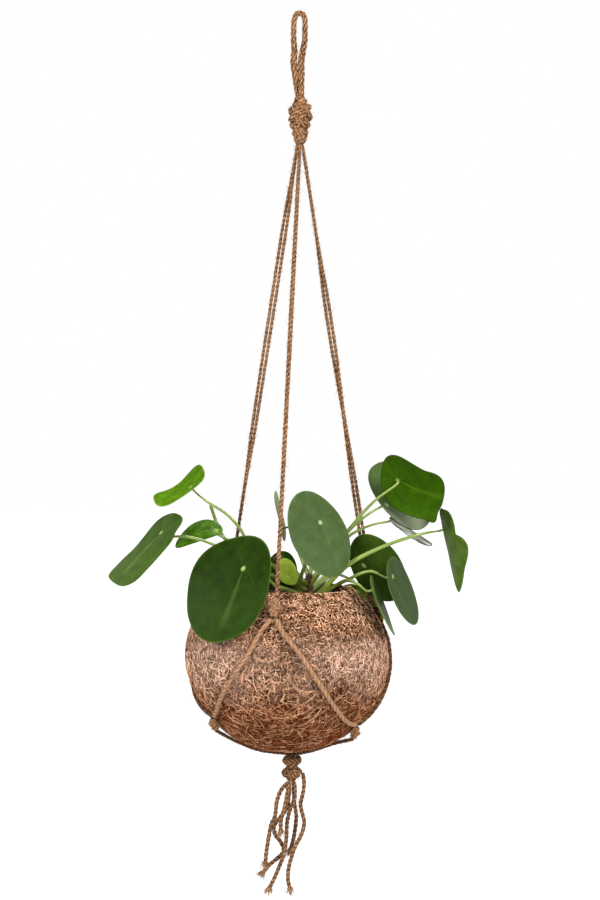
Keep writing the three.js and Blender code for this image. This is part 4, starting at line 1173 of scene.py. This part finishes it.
# Leaves, in millimetres. points are a blade's centre C, tip, heel, left and right; the blade is the curved
# sheet through them: S(u, w) = C + A u + A2 u^2 + W w + W2 w^2 + spread u^2 w, inside a rounded outline.
# notch and corners draw that outline in, or out where the depth is negative: direction in degrees, depth
# as a share, half width in degrees. joint is the (u, w) where the stalk meets the underside, lead is how
# far below it the stalk turns towards it, stalk lists the way there from the stem, and foot is the height
# where the stalk leaves the stem. veinTurn turns the veins.
leaves = [
    {  # upper left, nearly level, both ends bent down
        "points": [[-107, -10, -477], [-134, -10, -488], [-87, -8, -454], [-99, -38, -478], [-115, 20, -472]],
        "joint": [-0.3, -0.3], "spread": [0, 0, 7], "squareness": 0.8, "finish": "greenLeaf", "foot": -568,
        "stalk": [[9, -12, -563], [-6, -17, -555], [-38, -28, -530], [-47, -32, -513], [-61, -34, -498],
        [-80, -35, -486]],
    },
    {  # large, hanging at the left
        "points": [[-138, -38, -535], [-168, -32, -568], [-108, -36, -499], [-125, -66, -540],
        [-155, -4, -534]],
        "joint": [-0.5, 0.1], "corners": [[95, 0.16, 24], [40, -0.06, 20], [224, 0.13, 16]],
        "spread": [-4, 6, 2], "squareness": 0.8, "finish": "darkLeaf", "foot": -574,
        "stalk": [[-20, -24, -556], [-75, -46, -526], [-98, -46, -520]],
    },
    {  # small and folded, behind the stalk of the one before
        "points": [[-90, -4, -519], [-112, -12, -531], [-66, -8, -515], [-89, -14, -526], [-91, 12, -508]],
        "joint": [-0.75, 0], "finish": "glossLeaf", "foot": -572,
        "stalk": [[-10, 12, -557], [-48, 4, -536], [-61, 0, -525]],
    },
    {  # large and round, facing the viewer in front of the pot
        "points": [[-54, -84, -567], [-58, -95, -613], [-54, -60, -520], [-16, -82, -549], [-94, -74, -571]],
        "joint": [-0.35, -0.3], "squareness": 0.86, "veinTurn": 18, "corners": [[-42, -0.05, 22]],
        "finish": "roundLeaf", "foot": -582, "stalk": [[2, -24, -572], [-14, -48, -564], [-21, -64, -555]],
    },
    {  # slim, on edge, behind the front leg
        "points": [[-9, 15, -501], [-15, 15, -476], [-4, 12, -526], [-7, 42, -501], [-11, -12, -501]],
        "joint": [-0.5, 0], "finish": "paleLeaf", "foot": -562, "stalk": [[14, 8, -545], [4, 12, -524]],
    },
    {  # right of the middle, grey-green, facing the viewer
        "points": [[30, -40, -514], [46, -50, -555], [14, -24, -474], [56, -18, -509], [3, -60, -520]],
        "joint": [-0.22, -0.15], "notch": [225, 0.05, 35], "squareness": 1, "finish": "paleLeaf",
        "foot": -586, "stalk": [[11, -12, -575], [15, -22, -551], [24, -28, -528]],
    },
    {  # upper right, seen from below
        "points": [[122, -14, -470], [151, -26, -478], [90, -22, -453], [117, -4, -496], [122, -40, -444]],
        "joint": [-0.5, 0.05], "notch": [80, 0.14, 22], "corners": [[313, -0.22, 13]], "squareness": 0.75,
        "finish": "brightLeaf", "foot": -570, "stalk": [[28, -5, -560], [60, -2, -512], [84, -14, -483]],
    },
    {  # behind it, reaching back
        "points": [[113, 14, -481], [134, 46, -464], [92, 0, -488], [86, 8, -447], [137, 22, -510]],
        "joint": [-0.75, 0], "finish": "glareLeaf", "foot": -568,
        "stalk": [[32, 2, -552], [61, 3, -513], [80, 0, -496]],
    },
    {  # below that, on edge
        "points": [[122, 10, -514], [144, 10, -527], [101, 8, -500], [124, 38, -513], [118, -16, -517]],
        "joint": [-0.9, 0], "lead": 2.5, "finish": "glareStripeLeaf", "foot": -566,
        "stalk": [[36, 5, -548], [61, 7, -519], [84, 8, -507.5]],
    },
    {  # far right, twisted at its waist and hanging
        "points": [[164, 2, -523], [171, -4, -573], [153, 6, -490], [159, 24, -521], [177, -20, -526]],
        "joint": [-0.25, -0.7], "notch": [124, 0.42, 17],
        "corners": [[150, -0.15, 12], [48, 0.17, 28], [120, 0.07, 12]], "squareness": 1.2,
        "finish": "midLeaf", "foot": -584, "footRadius": 2.4, "endRadius": 0.9,
        "stalk": [[33, -8, -574], [58, -18, -547], [98, -24, -525], [132, -20, -514]],
    },
    {  # dark with painted shade, behind the right leg's foot
        "points": [[90, 5, -553], [119, 12, -560], [62, 14, -544], [84, 2, -518], [93, 6, -583]],
        "joint": [-0.5, 0], "squareness": 1, "finish": "duskLeaf", "foot": -578,
        "stalk": [[40, 14, -562], [56, 20, -552]],
    },
    {  # right, oval, nearly on edge
        "points": [[112, -24, -571], [127, -20, -603], [101, -26, -538], [123, 2, -566], [101, -52, -573]],
        "joint": [-0.5, 0.3], "finish": "slateLeaf", "foot": -586,
        "stalk": [[42, -12, -571], [56, -22, -562], [80, -32, -551]],
    },
    {  # narrow, on edge, tip down
        "points": [[89, -36, -582], [105, -32, -613], [82, -34, -555], [95, -8, -583], [84, -60, -574]],
        "joint": [-0.45, 0.3], "finish": "midLeaf", "foot": -588,
        "stalk": [[44, -15, -570], [56, -28, -561], [68, -38, -563]],
    },
    {  # young, beside the front leg
        "points": [[-1, -27, -554], [-3, -34, -540], [2, -20, -567], [-11, -30, -553], [9, -27, -555]],
        "joint": [-0.4, 0], "finish": "youngLeaf", "foot": -580, "footRadius": 1.5,
        "stalk": [[12, -11, -575]],
    },
    {  # dark with painted shade, behind the young one
        "points": [[-5, -3, -555], [-6, 4, -536], [-4, -7, -572], [-22, -5, -557], [9, -1, -556]],
        "joint": [-0.4, 0], "finish": "deepLeaf", "foot": -578, "footRadius": 1.6, "stalk": [[9, 3, -569]],
    },
    {  # at the back, level
        "points": [[34, 62, -514], [40, 88, -530], [28, 36, -512], [10, 60, -522], [58, 62, -520]],
        "joint": [-0.4, 0], "finish": "deepLeaf", "foot": -564, "stalk": [[24, 18, -548], [28, 36, -532]],
    },
    {  # at the back left, hanging over the rim
        "points": [[-30, 98, -600], [-34, 112, -640], [-26, 74, -562], [-68, 92, -600], [8, 106, -602]],
        "joint": [-0.5, 0], "finish": "greenLeaf", "foot": -572, "stalk": [[4, 30, -556], [-16, 60, -556]],
    },
    {  # at the back right, hanging over the rim
        "points": [[80, 84, -592], [92, 104, -621], [64, 62, -573], [96, 68, -598], [58, 98, -604]],
        "joint": [-0.5, 0], "finish": "greenLeaf", "foot": -574, "stalk": [[40, 28, -561], [52, 48, -562]],
    },
]
blade = {
    "thickness": 1.0 * mm, "squareness": 0.92, "sectors": 120, "rings": 30, "wave": 0.35 * mm,
    "dimple": 0.9 * mm, "dimpleRadius": 5 * mm,
}
stem = {"x": 21 * mm, "footZ": -640 * mm, "tipZ": -557 * mm, "radius": 4.6 * mm, "rows": 90}


def sheetOf(leaf):
    centre, tip, heel, left, right = np.array(leaf["points"]) * mm
    along, alongBend = (tip - heel) / 2, (tip + heel) / 2 - centre
    across, acrossBend = (right - left) / 2, (right + left) / 2 - centre
    spread = np.array(leaf.get("spread", (0, 0, 0))) * mm

    def at(u, w):
        u, w = u[..., None], w[..., None]
        return centre + along * u + alongBend * u**2 + across * w + acrossBend * w**2 + spread * u**2 * w

    def topSide(u, w):
        u, w = u[..., None], w[..., None]
        du = along + 2 * alongBend * u + 2 * spread * u * w
        dw = across + 2 * acrossBend * w + spread * u**2
        return unit(np.cross(dw, du))

    return at, topSide, np.linalg.norm(along), np.linalg.norm(across)


def outline(leaf, turn):
    power = leaf.get("squareness", blade["squareness"])
    reach = np.ones_like(turn)
    for direction, depth, halfWidth in [leaf.get("notch", (0, 0, 1)), *leaf.get("corners", [])]:
        apart = (np.degrees(turn) - direction + 180) % 360 - 180
        reach = reach - depth * np.exp(-((apart / halfWidth) ** 2))
    c, s = np.cos(turn), np.sin(turn)
    return reach * np.sign(c) * np.abs(c) ** power, reach * np.sign(s) * np.abs(s) ** power


# Rows run from the middle of the upper face out to the rounded edge and back to the middle underneath
def bladeShape(leaf, number):
    at, topSide, halfLength, halfWidth = sheetOf(leaf)
    turn = np.linspace(0, 2 * math.pi, blade["sectors"] + 1)
    u, w = outline(leaf, turn)
    inner = np.linspace(0.01, 1, blade["rings"])
    ring = np.concatenate([inner, [1.0 + 0.35 * mm / halfLength], inner[::-1]])[:, None]
    side = np.concatenate([np.ones(blade["rings"]), [0], -np.ones(blade["rings"])])[:, None]
    u, w = ring * u, ring * w
    normal = topSide(u, w)
    half = blade["thickness"] / 2 * (1.1 - 0.45 * np.minimum(ring, 1) ** 4)
    jointU, jointW = leaf["joint"]
    x, y = (u - jointU) * halfLength, (w - jointW) * halfWidth
    dip = blade["dimple"] * np.exp(-(x**2 + y**2) / blade["dimpleRadius"] ** 2)
    wave = blade["wave"] * ring**3 * np.sin(3 * turn + number)
    wave = wave + 0.25 * mm * relief(at(u, w), 30 * mm, 50 + number)
    height = side * half + wave - dip
    grid = (at(u, w) + normal * height[..., None])[:, :-1]
    lean = math.radians(leaf.get("veinTurn", 0))
    c, s = math.cos(lean), math.sin(lean)
    uv = np.stack([x * c + y * s, y * c - x * s], -1) * 100
    under = np.broadcast_to((1 - side) / 2, u.shape)[:, :-1]
    edge = np.broadcast_to(np.minimum(ring, 1), u.shape)[:, :-1]
    return {"grid": grid[None], "uv": uv[None], "values": {"under": under[None], "edge": edge[None]}}


def makeLeaves():
    for i, leaf in enumerate(leaves):
        kind, name = leaf["finish"], f"leaf_{i + 1:02d}"
        slotName = leafLooks[kind].get("slot", leafDefaults["slot"])
        addPiece(f"{name}_blade", [bladeShape(leaf, i + 1)], leafFinishes[kind], slotName, [name])


def plainTube(centres, reference, radius, sides=14):
    shape = ropeShape(centres, reference, radius, 1, 1.0, 0.0, sides=sides, endDraw=0.7)
    rows = len(centres)
    near = np.linspace(0, 1, rows)[:, None]
    shape["values"]["near"] = np.broadcast_to(near, (rows, sides))[None]
    return shape


# Usual values; the radii at foot and end and the lead are in mm, as in the leaf table
stalk = {
    "spacing": 1.5 * mm, "reference": (0.2, 0.9, 0.3), "foot": 2, "end": 1.05, "lead": 6,
    "under": 1.1 * mm,
}


# A stalk tapers from its foot in the stem to the underside of its blade, where it widens a little
def makeStalks():
    shapes = []
    for leaf in leaves:
        at, topSide, _, _ = sheetOf(leaf)
        u, w = (np.array(float(v)) for v in leaf["joint"])
        joint, normal = at(u, w), topSide(u, w)
        foot = np.array([stem["x"], 0, leaf["foot"] * mm])
        way = np.array(leaf["stalk"]) * mm
        ends = [joint - leaf.get("lead", stalk["lead"]) * mm * normal, joint - stalk["under"] * normal]
        centres = smoothRoute(np.vstack([foot, way, *ends]), stalk["spacing"])
        t = np.linspace(0, 1, len(centres))
        footRadius = leaf.get("footRadius", stalk["foot"]) * mm
        endRadius = leaf.get("endRadius", stalk["end"]) * mm
        swell, flare = np.clip(1 - t * 2, 0, 1), np.clip((t - 0.96) / 0.04, 0, 1)
        girth = footRadius * (1 + 0.25 * swell) + (endRadius - footRadius) * t**1.5 + 0.45 * mm * flare
        shapes.append(plainTube(centres, stalk["reference"], girth))
    bare = np.array([  # the stalk that has lost its blade
        [21, 0, -570], [-8, 18, -552], [-50, 12, -540], [-67, 13, -522], [-74, 15, -508], [-80, 13, -491],
    ])
    shapes.append(plainTube(smoothRoute(bare * mm, stalk["spacing"]), stalk["reference"], 1.75 * mm))
    addPiece("leaf_stalks", shapes, stalkGreen, "stalk", ["stem_and_stalks"])


# The woody stem: a tapering, knobbly tube with a ring-shaped scar for each lost leaf
def makeStem():
    z = np.linspace(stem["footZ"], stem["tipZ"], stem["rows"])
    centres = np.stack([np.full(z.shape, stem["x"]), 0 * z, z], -1)
    wobble = 0.35 * np.sin(z / (2.1 * mm)) + 0.3 * np.sin(z / (0.9 * mm) + 1)
    girth = stem["radius"] * np.interp(z, [stem["tipZ"] - 6 * mm, stem["tipZ"]], [1, 0.55]) + wobble * mm
    addPiece("woody_stem", [plainTube(centres, (0, 1, 0), girth, 28)], bark, "stalk")


makeLeaves()
makeStalks()
makeStem()
print("plant made")


# Studio: a pale floor far below, soft lights, and a surround that is white beside and darker above
studio = {
    "floorZ": -1.9, "floorSize": 60.0, "surround": 1.0, "above": 0.3, "darkens": (0.42, 0.72),
    "lightAim": (0, 0, -0.55),
}
lights = [
    {"name": "left_front", "place": (-1.4, -1.5, 0.35), "size": 0.9, "power": 52},
    {"name": "right_front", "place": (1.35, -1.5, 0.45), "size": 0.8, "power": 62},
    {"name": "top", "place": (0.1, 0.35, 1.3), "size": 1.2, "power": 26},
    {"name": "back", "place": (0.3, 1.9, 0.9), "size": 1.2, "power": 44},
]


def makeFloor():
    half = studio["floorSize"] / 2
    mesh = bpy.data.meshes.new("floor")
    corners = [(-half, -half), (half, -half), (half, half), (-half, half)]
    mesh.from_pydata([(x, y, studio["floorZ"]) for x, y in corners], [], [(0, 1, 2, 3)])
    floor = bpy.data.objects.new("floor", mesh)
    bpy.context.scene.collection.objects.link(floor)
    finish = Finish("floor")
    finish.shader.inputs["Emission Strength"].default_value = 0.85
    finish.shader.inputs["Emission Color"].default_value = (1, 1, 1, 1)
    mesh.materials.append(finish.done(color=(0.5, 0.5, 0.5, 1), roughness=0.95, specular=0.1))


def makeSurround():
    world = bpy.data.worlds.new("studio")
    world.use_nodes = True
    tree = world.node_tree
    place = tree.nodes.new("ShaderNodeTexCoord")
    split = tree.nodes.new("ShaderNodeSeparateXYZ")
    ramp = tree.nodes.new("ShaderNodeMapRange")
    span = (*studio["darkens"], studio["surround"], studio["above"])
    for key, value in zip(("From Min", "From Max", "To Min", "To Max"), span):
        ramp.inputs[key].default_value = value
    tree.links.new(place.outputs["Generated"], split.inputs[0])
    tree.links.new(split.outputs["Z"], ramp.inputs["Value"])
    back = tree.nodes["Background"]
    back.inputs["Color"].default_value = (1, 1, 1, 1)
    tree.links.new(ramp.outputs[0], back.inputs["Strength"])
    bpy.context.scene.world = world
    bpy.context.scene.view_settings.view_transform = "Standard"


def makeLights():
    for light in lights:
        data = bpy.data.lights.new(light["name"], "AREA")
        data.size = light["size"]
        data.energy = light["power"]
        item = bpy.data.objects.new(light["name"], data)
        item.location = light["place"]
        direction = Vector(studio["lightAim"]) - Vector(light["place"])
        item.rotation_mode = "QUATERNION"
        item.rotation_quaternion = direction.to_track_quat("-Z", "Y")
        bpy.context.scene.collection.objects.link(item)


makeFloor()
makeSurround()
makeLights()
print("studio made")
